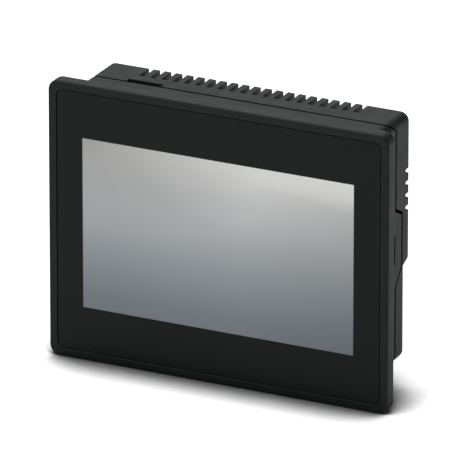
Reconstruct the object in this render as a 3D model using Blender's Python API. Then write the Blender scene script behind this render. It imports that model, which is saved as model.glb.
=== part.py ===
"""Panel-mount operator terminal with a 7 inch touch display.

The frame: +X to the viewer's right, +Y from the front face to the back, +Z up. The origin is the centre
of the panel cut-out, in the plane where the gasket meets the cabinet sheet. Depths are counted back from
the terminal's front face, and at_depth() turns a depth into a Y value.
"""

import math

import bmesh
import bpy
from mathutils import Matrix, Vector

MM = 0.001

# Front frame
BEZEL_WIDTH = 187.0 * MM
BEZEL_HEIGHT = 147.0 * MM
BEZEL_RADIUS = 5.5 * MM
FLANGE_DEPTH = 7.2 * MM
FRONT_EDGE_ROUND = 1.0 * MM
REAR_EDGE_ROUND = 0.4 * MM
FRONT_PLATE_DEPTH = 5.2 * MM

# Housing behind the flange
HOUSING_SIDE_INSET = 10.6 * MM
HOUSING_TOP_INSET = 4.4 * MM
HOUSING_BOTTOM_INSET = 13.9 * MM
HOUSING_RADIUS = 4.6 * MM
WALL = 2.2 * MM
TOTAL_DEPTH = 46.2 * MM
THIN_BACK_RELIEF = 5.8 * MM
THICK_BACK_LOW_Z = -7.5 * MM
STEP_RISE = 2.5 * MM
FOOT_CHAMFER_DEPTH = 3.7 * MM
FOOT_CHAMFER_HEIGHT = 3.3 * MM

# Joint line between front frame and rear cover
PARTING_TOP = 24.7 * MM
PARTING_SIDE = 31.4 * MM
PARTING_TAB = 38.9 * MM
PARTING_BOTTOM = 21.5 * MM
PARTING_GAP = 0.6 * MM
TAB_TOP_Z = 18.3 * MM
TAB_TOP_RISE = 4.0 * MM
TAB_BOTTOM_Z = -9.0 * MM
TAB_BOTTOM_FALL = 10.3 * MM

# Clamp slots
CLAMP_SLOT_LENGTH = 19.0 * MM
CLAMP_SLOT_WIDTH = 4.5 * MM
TOP_SLOT_X = -53.1 * MM
SIDE_SLOT_LENGTH = 15.5 * MM
SIDE_SLOT_Z = 1.35 * MM
SIDE_SLOT_REAR = 30.9 * MM
LOCATING_RIB_LENGTH = 150.0 * MM
LOCATING_RIB_HEIGHT = 2.2 * MM
LOCATING_RIB_DEPTH = 4.0 * MM

# Ventilation
TOP_VENT_COUNT = 20
TOP_VENT_PITCH = 6.2 * MM
TOP_VENT_WIDTH = 2.5 * MM
TOP_VENT_LENGTH = 11.2 * MM
TOP_VENT_DROP = 12.0 * MM
SIDE_VENT_COUNT = 4
SIDE_VENT_PITCH = 6.5 * MM
SIDE_VENT_TOP_Z = 38.7 * MM
SIDE_VENT_WIDTH = 2.2 * MM
SIDE_VENT_REACH = 3.2 * MM
SIDE_VENT_LENGTH = 14.0 * MM

# Sealing
GASKET_PROUD = 0.8 * MM
GASKET_WIDTH = 2.0 * MM
GASKET_EDGE = 1.2 * MM
GASKET_GROOVE_DEPTH = 1.5 * MM

# Front laminate and touch sensor
RECESS_MARGIN = 4.0 * MM
RECESS_RADIUS = 4.2 * MM
RECESS_DEPTH = 1.0 * MM
EDGE_GROOVE_WIDTH = 0.9 * MM
EDGE_GROOVE_DEPTH = 2.6 * MM
FILM_SETBACK = 0.25 * MM
FILM_THICKNESS = 0.35 * MM
MASK_THICKNESS = 0.15 * MM
SHEET_GAP = 0.12 * MM
WINDOW_WIDTH = 150.0 * MM
WINDOW_HEIGHT = 90.0 * MM
TOUCH_MARGIN = 5.0 * MM
TOUCH_FILM_THICKNESS = 0.2 * MM
TOUCH_SPACER_THICKNESS = 0.15 * MM
TOUCH_SPACER_WIDTH = 3.0 * MM
TOUCH_GLASS_THICKNESS = 1.8 * MM

# Display module
ACTIVE_MARGIN = 1.5 * MM
DISPLAY_MARGIN = 5.0 * MM
DISPLAY_FRONT = 7.0 * MM
DISPLAY_THICKNESS = 5.6 * MM
DISPLAY_SHEET = 0.4 * MM
CELL_THICKNESS = 1.3 * MM
GUIDE_THICKNESS = 2.4 * MM
LED_STRIP_THICKNESS = 0.6 * MM
FOAM_WIDTH = 2.0 * MM
TAIL_THICKNESS = 0.3 * MM
TAIL_BEND = 1.0 * MM

# Chassis plate and main board
CHASSIS_THICKNESS = 1.0 * MM
CHASSIS_TAB_WIDTH = 14.0 * MM
CHASSIS_SCREW_X = 58.0 * MM
CHASSIS_BOSS_RADIUS = 2.8 * MM
BOARD_FRONT = 22.0 * MM
BOARD_THICKNESS = 1.6 * MM
BOARD_CLEARANCE = 0.7 * MM
BOSS_INSET = 3.2 * MM
BOSS_RADIUS = 3.4 * MM
COVER_BOSS_RADIUS = 4.4 * MM

# Screws
CASE_SCREW_SHAFT = 1.45 * MM
CASE_SCREW_HEAD = 2.8 * MM
CASE_SCREW_HEAD_HEIGHT = 2.2 * MM
CASE_SCREW_RECESS = 3.2 * MM
CASE_SCREW_TIP = 14.0 * MM
CASE_SCREW_CHAMFER = 0.8 * MM
PILOT_DEPTH = 9.0 * MM

# Connectors, along the housing's bottom edge
CONNECTOR_NOTCH_GAP = 0.4 * MM
POLE_COUNT = 3
POLE_PITCH = 5.08 * MM
POWER_X = -58.0 * MM
HEADER_WALL = 0.8 * MM
HEADER_HEIGHT = 11.2 * MM
HEADER_LENGTH = 12.4 * MM
HEADER_FLOOR = 3.6 * MM
PIN_SIZE = 1.0 * MM
PIN_LENGTH = 7.0 * MM
PLUG_HEIGHT = 14.2 * MM
PLUG_LENGTH = 11.0 * MM
PLUG_NOSE_LENGTH = 8.4 * MM
CAGE_TRAVEL = 2.4 * MM
CAGE_WIDTH = 4.0 * MM
CAGE_LENGTH = 4.8 * MM
CAGE_HEIGHT = 7.8 * MM
CAGE_WALL = 0.6 * MM
CAGE_PLATE = 1.0 * MM
CONTACT_WIDTH = 2.3 * MM
CONTACT_THICKNESS = 0.7 * MM
TERMINAL_SHAFT = 1.15 * MM
TERMINAL_HEAD = 1.9 * MM
PLUG_WALL = 1.2 * MM
CAGE_SETBACK = 2.8 * MM
WIRE_ENTRY_RADIUS = 1.6 * MM
DRIVER_SLOT_WIDTH = 0.6 * MM
DRIVER_SLOT_DEPTH = 0.7 * MM
ETHERNET_X = -25.0 * MM
ETHERNET_SIZE = (16.0 * MM, 13.4 * MM, 21.0 * MM)
ETHERNET_PORT = (11.8 * MM, 8.0 * MM, 13.0 * MM)
ETHERNET_PORT_SEAT = 1.2 * MM
LATCH_HALF_WIDTH = 3.0 * MM
LATCH_DEPTH = 1.6 * MM
LATCH_SHARE = 0.6
USB_X = 2.0 * MM
USB_SIZE = (13.2 * MM, 6.1 * MM, 14.5 * MM)
USB_BASE_LENGTH = 4.0 * MM
USB_BLADE_HALF_WIDTH = 5.5 * MM
USB_BLADE_SPAN = (2.4 * MM, 0.6 * MM)
SERIAL_X = 38.0 * MM
SERIAL_FLANGE = (30.8 * MM, 12.5 * MM, 0.8 * MM)
SERIAL_MOUTH = (16.9 * MM, 8.3 * MM, 5.8 * MM)
SERIAL_BLOCK_LENGTH = 11.0 * MM
SERIAL_SEAT = 0.2 * MM
SERIAL_TAPER = 0.8 * MM
SERIAL_FACE_SETBACK = 0.6 * MM
JACK_SCREW_SPACING = 25.0 * MM
JACK_HOLE_RADIUS = 1.9 * MM
JACK_HOLE_DEPTH = 8.0 * MM
JACK_HEX_RADIUS = 2.77 * MM
JACK_HEAD_LENGTH = 5.0 * MM
JACK_SHAFT_RADIUS = 1.4 * MM
JACK_SHAFT_LENGTH = 7.0 * MM
JACK_BORE_RADIUS = 1.3 * MM
SHELL_SHEET = 0.4 * MM

# Rating label
LABEL_WIDTH = 70.0 * MM
LABEL_HEIGHT = 30.0 * MM
LABEL_Z = -33.0 * MM
LABEL_RECESS = 0.5 * MM
LABEL_THICKNESS = 0.2 * MM

# Parts on the board: X, Z, width, height and thickness.
PROCESSOR = (0.0, 28.0 * MM, 17.0 * MM, 17.0 * MM, 1.6 * MM)
THERMAL_PAD_SIZE = (16.0 * MM, 16.0 * MM, 0.8 * MM)
MEMORY_CHIPS = [(32.0 * MM, 36.0 * MM), (32.0 * MM, 20.0 * MM)]
MEMORY_SIZE = (12.0 * MM, 9.0 * MM, 1.1 * MM)
INDUCTOR = (-58.0 * MM, -30.0 * MM, 12.0 * MM, 12.0 * MM, 7.0 * MM)
FUSE = (-71.0 * MM, -40.0 * MM, 2.7 * MM, 6.2 * MM, 2.6 * MM)
CAPACITORS = [(-64.0 * MM, -14.0 * MM), (-52.0 * MM, -14.0 * MM)]
# Radius and height, in millimetres, of a can with a pressed-in groove.
CAN_PROFILE = [(3.9, 0.0), (4.0, 0.6), (4.0, 1.6), (3.7, 2.0), (4.0, 2.4), (4.0, 9.4), (3.6, 10.0)]
FIN_COUNT = 8
FIN_THICKNESS = 1.4 * MM
HEAT_SINK_WIDTH = 42.0 * MM
HEAT_SINK_LENGTH = 38.0 * MM
HEAT_SINK_BASE = 2.2 * MM
BATTERY_PLACE = (52.0 * MM, -12.0 * MM)
CELL_RADIUS = 10.0 * MM
CELL_HEIGHT = 3.2 * MM
CELL_RIM = 0.3 * MM
HOLDER_WALL = 1.8 * MM
HOLDER_HEIGHT = 4.4 * MM
FINGER_GAP_HALF = 3.0 * MM

# Clearances and overlaps
GAP = 0.3 * MM
LAP = 1.0 * MM
CORNER_STEPS = 5

# Derived places
FRONT_Y = -(FLANGE_DEPTH + GASKET_PROUD)
HOUSING_WIDTH = BEZEL_WIDTH - 2 * HOUSING_SIDE_INSET
HOUSING_TOP = BEZEL_HEIGHT / 2 - HOUSING_TOP_INSET
HOUSING_BOTTOM = HOUSING_BOTTOM_INSET - BEZEL_HEIGHT / 2
INNER_WIDTH = HOUSING_WIDTH - 2 * WALL
INNER_TOP = HOUSING_TOP - WALL
INNER_BOTTOM = HOUSING_BOTTOM + WALL
THIN_BACK = TOTAL_DEPTH - THIN_BACK_RELIEF
BOARD_REAR = BOARD_FRONT + BOARD_THICKNESS
COMPONENT_SEAT = BOARD_REAR + GAP
BOSS_X = INNER_WIDTH / 2 - BOSS_INSET
BOSS_TOP_Z = INNER_TOP - BOSS_INSET
BOSS_BOTTOM_Z = INNER_BOTTOM + BOSS_INSET
DISPLAY_WIDTH = WINDOW_WIDTH + 2 * DISPLAY_MARGIN
DISPLAY_HEIGHT = WINDOW_HEIGHT + 2 * DISPLAY_MARGIN
DISPLAY_REAR = DISPLAY_FRONT + DISPLAY_THICKNESS
ACTIVE_WIDTH = WINDOW_WIDTH + 2 * ACTIVE_MARGIN
ACTIVE_HEIGHT = WINDOW_HEIGHT + 2 * ACTIVE_MARGIN
TOUCH_WIDTH = WINDOW_WIDTH + 2 * TOUCH_MARGIN
TOUCH_HEIGHT = WINDOW_HEIGHT + 2 * TOUCH_MARGIN
MASK_FRONT = FILM_SETBACK + FILM_THICKNESS + SHEET_GAP
TOUCH_FILM_FRONT = MASK_FRONT + MASK_THICKNESS + SHEET_GAP
TOUCH_SPACER_FRONT = TOUCH_FILM_FRONT + TOUCH_FILM_THICKNESS + SHEET_GAP
TOUCH_GLASS_FRONT = TOUCH_SPACER_FRONT + TOUCH_SPACER_THICKNESS + SHEET_GAP
TOUCH_POCKET_DEPTH = TOUCH_GLASS_FRONT + TOUCH_GLASS_THICKNESS + SHEET_GAP
CHASSIS_FRONT = DISPLAY_REAR + GAP
CHASSIS_REAR = CHASSIS_FRONT + CHASSIS_THICKNESS
CONNECTOR_MOUTH_Z = HOUSING_BOTTOM - GAP
POLE_DEPTH = COMPONENT_SEAT + HEADER_HEIGHT / 2
HEADER_WIDTH = POLE_COUNT * POLE_PITCH + 2 * HEADER_WALL + 2 * GAP
HEADER_CEILING_Z = CONNECTOR_MOUTH_Z + HEADER_LENGTH - HEADER_FLOOR
PLUG_WIDTH = POLE_COUNT * POLE_PITCH
PLUG_TOP_Z = CONNECTOR_MOUTH_Z - GAP
PLUG_BOTTOM_Z = PLUG_TOP_Z - PLUG_LENGTH
PLUG_FRONT = POLE_DEPTH - PLUG_HEIGHT / 2
PLUG_REAR = POLE_DEPTH + PLUG_HEIGHT / 2
CHAMBER_FRONT = PLUG_FRONT + PLUG_WALL
CAGE_FRONT = CHAMBER_FRONT + GAP
CAGE_REAR = CAGE_FRONT + CAGE_HEIGHT
CHAMBER_REAR = CAGE_REAR + CAGE_TRAVEL + GAP
CAGE_LOW_Z = PLUG_BOTTOM_Z + CAGE_SETBACK
CONTACT_FRONT = CAGE_FRONT + CAGE_PLATE + CAGE_TRAVEL + GAP
CONTACT_REAR = CONTACT_FRONT + CONTACT_THICKNESS
SERIAL_FRONT = COMPONENT_SEAT + SERIAL_SEAT

# The two flexible tails: where each starts, turns back and ends.
TAILS = {
    "touch_tail": {
        "x": 30.0 * MM,
        "width": 12.0 * MM,
        "start_depth": TOUCH_FILM_FRONT,
        "start_z": -TOUCH_HEIGHT / 2 - GAP,
        "drop_z": -TOUCH_HEIGHT / 2 - 1.4 * MM,
        "end_z": -40.0 * MM,
    },
    "lcd_tail": {
        "x": -25.0 * MM,
        "width": 30.0 * MM,
        "start_depth": DISPLAY_FRONT + DISPLAY_SHEET + GAP,
        "start_z": -DISPLAY_HEIGHT / 2 + 1.2 * MM,
        "drop_z": -DISPLAY_HEIGHT / 2 - 1.0 * MM,
        "end_z": -36.0 * MM,
    },
}

COLOURS = {
    "black_plastic": ((0.018, 0.019, 0.019), 0.62, 0.0),
    "clear_film": ((0.55, 0.57, 0.58), 0.18, 0.0),
    "black_ink": ((0.012, 0.013, 0.013), 0.55, 0.0),
    "touch_foil": ((0.60, 0.62, 0.60), 0.15, 0.0),
    "grey_foam": ((0.10, 0.10, 0.10), 0.90, 0.0),
    "clear_glass": ((0.62, 0.66, 0.66), 0.05, 0.0),
    "display_grey": ((0.32, 0.34, 0.35), 0.25, 0.0),
    "acrylic": ((0.85, 0.87, 0.88), 0.10, 0.0),
    "bright_steel": ((0.62, 0.62, 0.60), 0.32, 1.0),
    "tinned_brass": ((0.70, 0.68, 0.60), 0.30, 1.0),
    "zinc_screw": ((0.58, 0.59, 0.60), 0.34, 1.0),
    "amber_flex": ((0.55, 0.27, 0.06), 0.45, 0.0),
    "green_board": ((0.02, 0.16, 0.07), 0.45, 0.0),
    "chip_black": ((0.02, 0.02, 0.022), 0.50, 0.0),
    "white_plastic": ((0.75, 0.75, 0.72), 0.45, 0.0),
    "green_plastic": ((0.03, 0.22, 0.09), 0.50, 0.0),
    "rubber_black": ((0.02, 0.02, 0.02), 0.85, 0.0),
    "grey_pad": ((0.35, 0.37, 0.40), 0.80, 0.0),
    "ferrite": ((0.10, 0.10, 0.11), 0.75, 0.0),
    "aluminium_can": ((0.70, 0.70, 0.70), 0.30, 1.0),
    "black_anodised": ((0.05, 0.05, 0.055), 0.45, 1.0),
    "label_silver": ((0.55, 0.55, 0.54), 0.50, 0.0),
}


def at_depth(depth):
    return FRONT_Y + depth


def finish(name):
    """A Principled material of this name, made once."""
    if name in bpy.data.materials:
        return bpy.data.materials[name]
    colour, roughness, metallic = COLOURS[name]
    material = bpy.data.materials.new(name)
    material.use_nodes = True
    shader = material.node_tree.nodes["Principled BSDF"]
    shader.inputs["Base Color"].default_value = (*colour, 1.0)
    shader.inputs["Roughness"].default_value = roughness
    shader.inputs["Metallic"].default_value = metallic
    material.diffuse_color = (*colour, 1.0)
    return material


def to_object(name, shape):
    """Turns a bmesh into a linked object with its faces pointing out."""
    bmesh.ops.recalc_face_normals(shape, faces=shape.faces)
    mesh = bpy.data.meshes.new(name)
    shape.to_mesh(mesh)
    shape.free()
    body = bpy.data.objects.new(name, mesh)
    bpy.context.collection.objects.link(body)
    return body


def dress(body, look, sharp_angle=30.0):
    """Gives a finished piece its material and its smooth round faces."""
    body.data.materials.clear()
    body.data.materials.append(finish(look))
    body.data.shade_smooth()
    body.data.set_sharp_from_angle(angle=math.radians(sharp_angle))
    return body


def combine(body, tool, operation):
    """Joins a tool to a body or cuts it away, and removes the tool."""
    modifier = body.modifiers.new(operation, "BOOLEAN")
    modifier.operation = operation
    modifier.solver = "EXACT"
    modifier.object = tool
    bpy.context.view_layer.update()
    graph = bpy.context.evaluated_depsgraph_get()
    mesh = bpy.data.meshes.new_from_object(body.evaluated_get(graph))
    body.modifiers.clear()
    body.data = mesh
    bpy.data.objects.remove(tool)
    return body


def cut(body, *tools):
    for tool in tools:
        combine(body, tool, "DIFFERENCE")
    return body


def add(body, *tools):
    for tool in tools:
        combine(body, tool, "UNION")
    return body


def rounded(width, height, radius, centre_x=0.0, centre_z=0.0):
    """A rectangle with round corners as X and Z points, anticlockwise seen from the front."""
    points = []
    for quarter, (side_x, side_z) in enumerate([(1, -1), (1, 1), (-1, 1), (-1, -1)]):
        corner_x = centre_x + side_x * (width / 2 - radius)
        corner_z = centre_z + side_z * (height / 2 - radius)
        for step in range(CORNER_STEPS + 1):
            angle = math.radians(-90 + 90 * quarter + 90 * step / CORNER_STEPS)
            points.append((corner_x + radius * math.cos(angle), corner_z + radius * math.sin(angle)))
    return points


def housing_outline(inset):
    """The housing's outline, moved in by the inset."""
    height = HOUSING_TOP - HOUSING_BOTTOM
    middle = (HOUSING_TOP + HOUSING_BOTTOM) / 2
    radius = HOUSING_RADIUS - inset
    return rounded(HOUSING_WIDTH - 2 * inset, height - 2 * inset, radius, 0.0, middle)


def loft(name, sections):
    """A solid through outlines of equal count, each given as a depth and its X and Z points."""
    shape = bmesh.new()
    rings = [[shape.verts.new((x, at_depth(depth), z)) for x, z in points] for depth, points in sections]
    count = len(rings[0])
    for near, far in zip(rings, rings[1:]):
        for index in range(count):
            following = (index + 1) % count
            shape.faces.new((near[index], far[index], far[following], near[following]))
    shape.faces.new(rings[0])
    shape.faces.new(reversed(rings[-1]))
    return to_object(name, shape)


def slab(name, points, front, rear):
    return loft(name, [(front, points), (rear, points)])


def frame(name, outer, inner, front, rear):
    """A flat ring between two outlines of equal count."""
    shape = bmesh.new()
    count = len(outer)
    loops = []
    for points, depth in ((outer, front), (inner, front), (inner, rear), (outer, rear)):
        loops.append([shape.verts.new((x, at_depth(depth), z)) for x, z in points])
    for first, second in zip(loops, loops[1:] + loops[:1]):
        for index in range(count):
            following = (index + 1) % count
            shape.faces.new((first[index], first[following], second[following], second[index]))
    return to_object(name, shape)


def block(name, low, high):
    """A box from its low to its high corner, each given as X, depth and Z."""
    shape = bmesh.new()
    bmesh.ops.create_cube(shape, size=1.0)
    for vertex in shape.verts:
        x, y, z = (low[axis] + (vertex.co[axis] + 0.5) * (high[axis] - low[axis]) for axis in range(3))
        vertex.co = (x, at_depth(y), z)
    return to_object(name, shape)


def blocks(name, corners):
    """Several separate boxes as one tool."""
    shape = bmesh.new()
    for low, high in corners:
        made = bmesh.ops.create_cube(shape, size=1.0)["verts"]
        for vertex in made:
            x, y, z = (low[axis] + (vertex.co[axis] + 0.5) * (high[axis] - low[axis]) for axis in range(3))
            vertex.co = (x, at_depth(y), z)
    return to_object(name, shape)


def profile_bar(name, points, left, right):
    """A bar along X whose section is given as depth and Z points."""
    shape = bmesh.new()
    ends = [[shape.verts.new((x, at_depth(depth), z)) for depth, z in points] for x in (left, right)]
    for index in range(len(points)):
        following = (index + 1) % len(points)
        shape.faces.new((ends[0][index], ends[0][following], ends[1][following], ends[1][index]))
    shape.faces.new(ends[0])
    shape.faces.new(reversed(ends[1]))
    return to_object(name, shape)


def turned(name, profile, foot, direction, sides=16):
    """A turned piece on an axis, from radius and height points that run up its outer side.

    The object's origin lies at the foot, and its local Z runs along the direction.
    """
    shape = bmesh.new()
    rings = []
    for radius, height in profile:
        angles = [2 * math.pi * side / sides for side in range(sides)]
        rings.append([shape.verts.new((radius * math.cos(a), radius * math.sin(a), height)) for a in angles])
    for lower, upper in zip(rings, rings[1:]):
        for side in range(sides):
            following = (side + 1) % sides
            shape.faces.new((lower[side], lower[following], upper[following], upper[side]))
    shape.faces.new(reversed(rings[0]))
    shape.faces.new(rings[-1])
    body = to_object(name, shape)
    body.location = (foot[0], at_depth(foot[1]), foot[2])
    body.rotation_euler = Vector((0, 0, 1)).rotation_difference(Vector(direction)).to_euler()
    return body


def rod(name, radius, foot, direction, length, sides=16):
    return turned(name, [(radius, 0.0), (radius, length)], foot, direction, sides)


def boss_places():
    """The four case screw axes as X and Z."""
    return [(side * BOSS_X, z) for z in (BOSS_TOP_Z, BOSS_BOTTOM_Z) for side in (-1, 1)]


def chassis_places():
    """The four chassis screw axes as X and Z, above and below the display."""
    above = (DISPLAY_HEIGHT / 2 + INNER_TOP) / 2 - LAP
    below = INNER_BOTTOM + CHASSIS_BOSS_RADIUS + GAP
    return [(side * CHASSIS_SCREW_X, z) for z in (above, below) for side in (-1, 1)]


def parting_line(side):
    """The joint line from bottom to top as depth and Z, moved to the front (-1) or the rear (+1) piece."""
    shift = side * PARTING_GAP / 2
    jog = INNER_BOTTOM + PARTING_GAP / 2 - shift
    return [
        (PARTING_BOTTOM + shift, HOUSING_BOTTOM - LAP),
        (PARTING_BOTTOM + shift, jog),
        (PARTING_SIDE + shift, jog),
        (PARTING_SIDE + shift, TAB_BOTTOM_Z - TAB_BOTTOM_FALL),
        (PARTING_TAB + shift, TAB_BOTTOM_Z),
        (PARTING_TAB + shift, TAB_TOP_Z + shift),
        (PARTING_SIDE + shift, TAB_TOP_Z + TAB_TOP_RISE + shift),
        (PARTING_SIDE + shift, HOUSING_TOP - HOUSING_RADIUS),
        (PARTING_TOP + shift, HOUSING_TOP),
        (PARTING_TOP + shift, HOUSING_TOP + LAP),
    ]


def top_clamp_slot():
    half = CLAMP_SLOT_LENGTH / 2
    low = (TOP_SLOT_X - half, PARTING_TOP - PARTING_GAP / 2, INNER_TOP - LAP)
    high = (TOP_SLOT_X + half, PARTING_TOP - PARTING_GAP / 2 + CLAMP_SLOT_WIDTH, HOUSING_TOP + LAP)
    return block("clamp_slot", low, high)


def flange_sections():
    """The flange's outlines from its round front edge to its rear face."""
    sections = []
    for step in range(4):
        angle = math.radians(90 * step / 3)
        inset = FRONT_EDGE_ROUND * (1 - math.sin(angle))
        sections.append((FRONT_EDGE_ROUND * (1 - math.cos(angle)), inset))
    sections.append((FLANGE_DEPTH - REAR_EDGE_ROUND, 0.0))
    sections.append((FLANGE_DEPTH, REAR_EDGE_ROUND))
    outlines = []
    for depth, inset in sections:
        size = (BEZEL_WIDTH - 2 * inset, BEZEL_HEIGHT - 2 * inset, BEZEL_RADIUS - inset)
        outlines.append((depth, rounded(*size)))
    return outlines


def recess_outline(inset):
    width = BEZEL_WIDTH - 2 * (RECESS_MARGIN + inset)
    height = BEZEL_HEIGHT - 2 * (RECESS_MARGIN + inset)
    return rounded(width, height, RECESS_RADIUS - inset)


def gasket_outline(inset):
    """The gasket groove's outline at the flange's rear, moved in by the inset."""
    width = BEZEL_WIDTH - 2 * (GASKET_EDGE + inset)
    height = BEZEL_HEIGHT - 2 * (GASKET_EDGE + inset)
    return rounded(width, height, BEZEL_RADIUS - GASKET_EDGE - inset * 0.5)


def front_frame_shell():
    """The flange and the walls behind it, hollow from the rear."""
    body = loft("front_bezel", flange_sections())
    walls = slab("walls", housing_outline(0.0), FLANGE_DEPTH - LAP, PARTING_TAB + LAP)
    region = [(0.0, HOUSING_BOTTOM - LAP)] + parting_line(-1) + [(0.0, HOUSING_TOP + LAP)]
    combine(walls, profile_bar("region", region, -BEZEL_WIDTH, BEZEL_WIDTH), "INTERSECT")
    add(body, walls)
    cut(body, slab("cavity", housing_outline(WALL), FRONT_PLATE_DEPTH, TOTAL_DEPTH))
    rib_low = -HOUSING_TOP
    rib = block(
        "rib",
        (-LOCATING_RIB_LENGTH / 2, FLANGE_DEPTH - LAP, rib_low),
        (LOCATING_RIB_LENGTH / 2, FLANGE_DEPTH + LOCATING_RIB_DEPTH, rib_low + LOCATING_RIB_HEIGHT),
    )
    return add(body, rib)


def add_frame_bosses(body):
    """Screw bosses for the case screws and the chassis screws, with their pilot holes."""
    start = FRONT_PLATE_DEPTH - LAP
    for x, z in boss_places():
        add(body, rod("boss", BOSS_RADIUS, (x, start, z), (0, 1, 0), BOARD_FRONT - GAP - start))
    for x, z in chassis_places():
        add(body, rod("boss", CHASSIS_BOSS_RADIUS, (x, start, z), (0, 1, 0), CHASSIS_FRONT - GAP - start))
    for x, z in boss_places():
        hole = (x, BOARD_FRONT - PILOT_DEPTH, z)
        cut(body, rod("pilot", CASE_SCREW_SHAFT + GAP, hole, (0, 1, 0), PILOT_DEPTH, 12))
    for x, z in chassis_places():
        hole = (x, FRONT_PLATE_DEPTH + LAP, z)
        cut(body, rod("pilot", CASE_SCREW_SHAFT, hole, (0, 1, 0), CHASSIS_FRONT - FRONT_PLATE_DEPTH, 12))


def cut_front_recesses(body):
    """The film recess, its deep edge groove, the touch sensor's pocket and the display opening."""
    cut(body, slab("recess", recess_outline(0.0), -LAP, RECESS_DEPTH))
    outer = recess_outline(0.0)
    inner = recess_outline(EDGE_GROOVE_WIDTH)
    cut(body, frame("groove", outer, inner, RECESS_DEPTH - LAP / 2, EDGE_GROOVE_DEPTH))
    pocket = rounded(TOUCH_WIDTH + 2 * GAP, TOUCH_HEIGHT + 2 * GAP, LAP)
    cut(body, slab("pocket", pocket, 0.0, TOUCH_POCKET_DEPTH))
    opening = rounded(ACTIVE_WIDTH, ACTIVE_HEIGHT, LAP)
    cut(body, slab("opening", opening, 0.0, FRONT_PLATE_DEPTH + LAP))
    tail = TAILS["touch_tail"]
    slot_low = (tail["x"] - tail["width"] / 2 - GAP, 0.0, tail["drop_z"] - TAIL_THICKNESS - GAP)
    slot_high = (tail["x"] + tail["width"] / 2 + GAP, FRONT_PLATE_DEPTH + LAP, 0.0)
    cut(body, block("tail_slot", slot_low, slot_high))


def make_front_bezel():
    body = front_frame_shell()
    add_frame_bosses(body)
    cut_front_recesses(body)
    groove = (gasket_outline(0.0), gasket_outline(GASKET_WIDTH + 2 * GAP))
    cut(body, frame("groove", *groove, FLANGE_DEPTH - GASKET_GROOVE_DEPTH, FLANGE_DEPTH + LAP))
    cut(body, top_clamp_slot())
    low = (-BEZEL_WIDTH, SIDE_SLOT_REAR - CLAMP_SLOT_WIDTH, SIDE_SLOT_Z - SIDE_SLOT_LENGTH / 2)
    high = (BEZEL_WIDTH, SIDE_SLOT_REAR, SIDE_SLOT_Z + SIDE_SLOT_LENGTH / 2)
    cut(body, block("side_slots", low, high))
    return dress(body, "black_plastic")


def make_panel_gasket():
    groove_floor = FLANGE_DEPTH - GASKET_GROOVE_DEPTH
    outlines = (gasket_outline(GAP), gasket_outline(GAP + GASKET_WIDTH))
    gasket = frame("panel_gasket", *outlines, groove_floor + GAP, FLANGE_DEPTH + GASKET_PROUD)
    return dress(gasket, "rubber_black")


def make_front_laminate():
    """The clear film, the ink mask behind it and the touch sensor's three layers."""
    film = recess_outline(EDGE_GROOVE_WIDTH)
    body = slab("overlay_film", film, FILM_SETBACK, FILM_SETBACK + FILM_THICKNESS)
    dress(body, "clear_film")
    window = rounded(WINDOW_WIDTH, WINDOW_HEIGHT, GAP)
    dress(frame("print_mask", film, window, MASK_FRONT, MASK_FRONT + MASK_THICKNESS), "black_ink")
    sheet = rounded(TOUCH_WIDTH, TOUCH_HEIGHT, LAP)
    inner = rounded(TOUCH_WIDTH - 2 * TOUCH_SPACER_WIDTH, TOUCH_HEIGHT - 2 * TOUCH_SPACER_WIDTH, GAP)
    body = slab("touch_film", sheet, TOUCH_FILM_FRONT, TOUCH_FILM_FRONT + TOUCH_FILM_THICKNESS)
    dress(body, "touch_foil")
    rear = TOUCH_SPACER_FRONT + TOUCH_SPACER_THICKNESS
    dress(frame("touch_spacer", sheet, inner, TOUCH_SPACER_FRONT, rear), "white_plastic")
    body = slab("touch_glass", sheet, TOUCH_GLASS_FRONT, TOUCH_GLASS_FRONT + TOUCH_GLASS_THICKNESS)
    dress(body, "clear_glass")


def arc(centre, radius, start, end, steps=4):
    """Points on an arc in the depth and Z plane, angles in degrees from the depth axis."""
    angles = [math.radians(start + (end - start) * step / steps) for step in range(steps + 1)]
    return [(centre[0] + radius * math.cos(a), centre[1] + radius * math.sin(a)) for a in angles]


def make_tail(name):
    """A flexible printed tail: down at its start, back below the display, and up along the board."""
    tail = TAILS[name]
    start = tail["start_depth"]
    board = BOARD_FRONT - GAP - TAIL_THICKNESS
    outer_z = tail["drop_z"] - TAIL_THICKNESS
    bend = min(TAIL_BEND, tail["start_z"] - tail["drop_z"])
    outer_bend = bend + TAIL_THICKNESS
    front_centre = (start + outer_bend, outer_z + outer_bend)
    rear_centre = (board - bend, outer_z + outer_bend)
    outside = [(start, tail["start_z"])]
    outside += arc(front_centre, outer_bend, 180, 270)
    outside += arc(rear_centre, outer_bend, -90, 0)
    outside += [(board + TAIL_THICKNESS, tail["end_z"])]
    inside = [(board, tail["end_z"])]
    inside += arc(rear_centre, bend, 0, -90)
    inside += arc(front_centre, bend, 270, 180)
    inside += [(start + TAIL_THICKNESS, tail["start_z"])]
    left = tail["x"] - tail["width"] / 2
    return dress(profile_bar(name, outside + inside, left, left + tail["width"]), "amber_flex")


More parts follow.
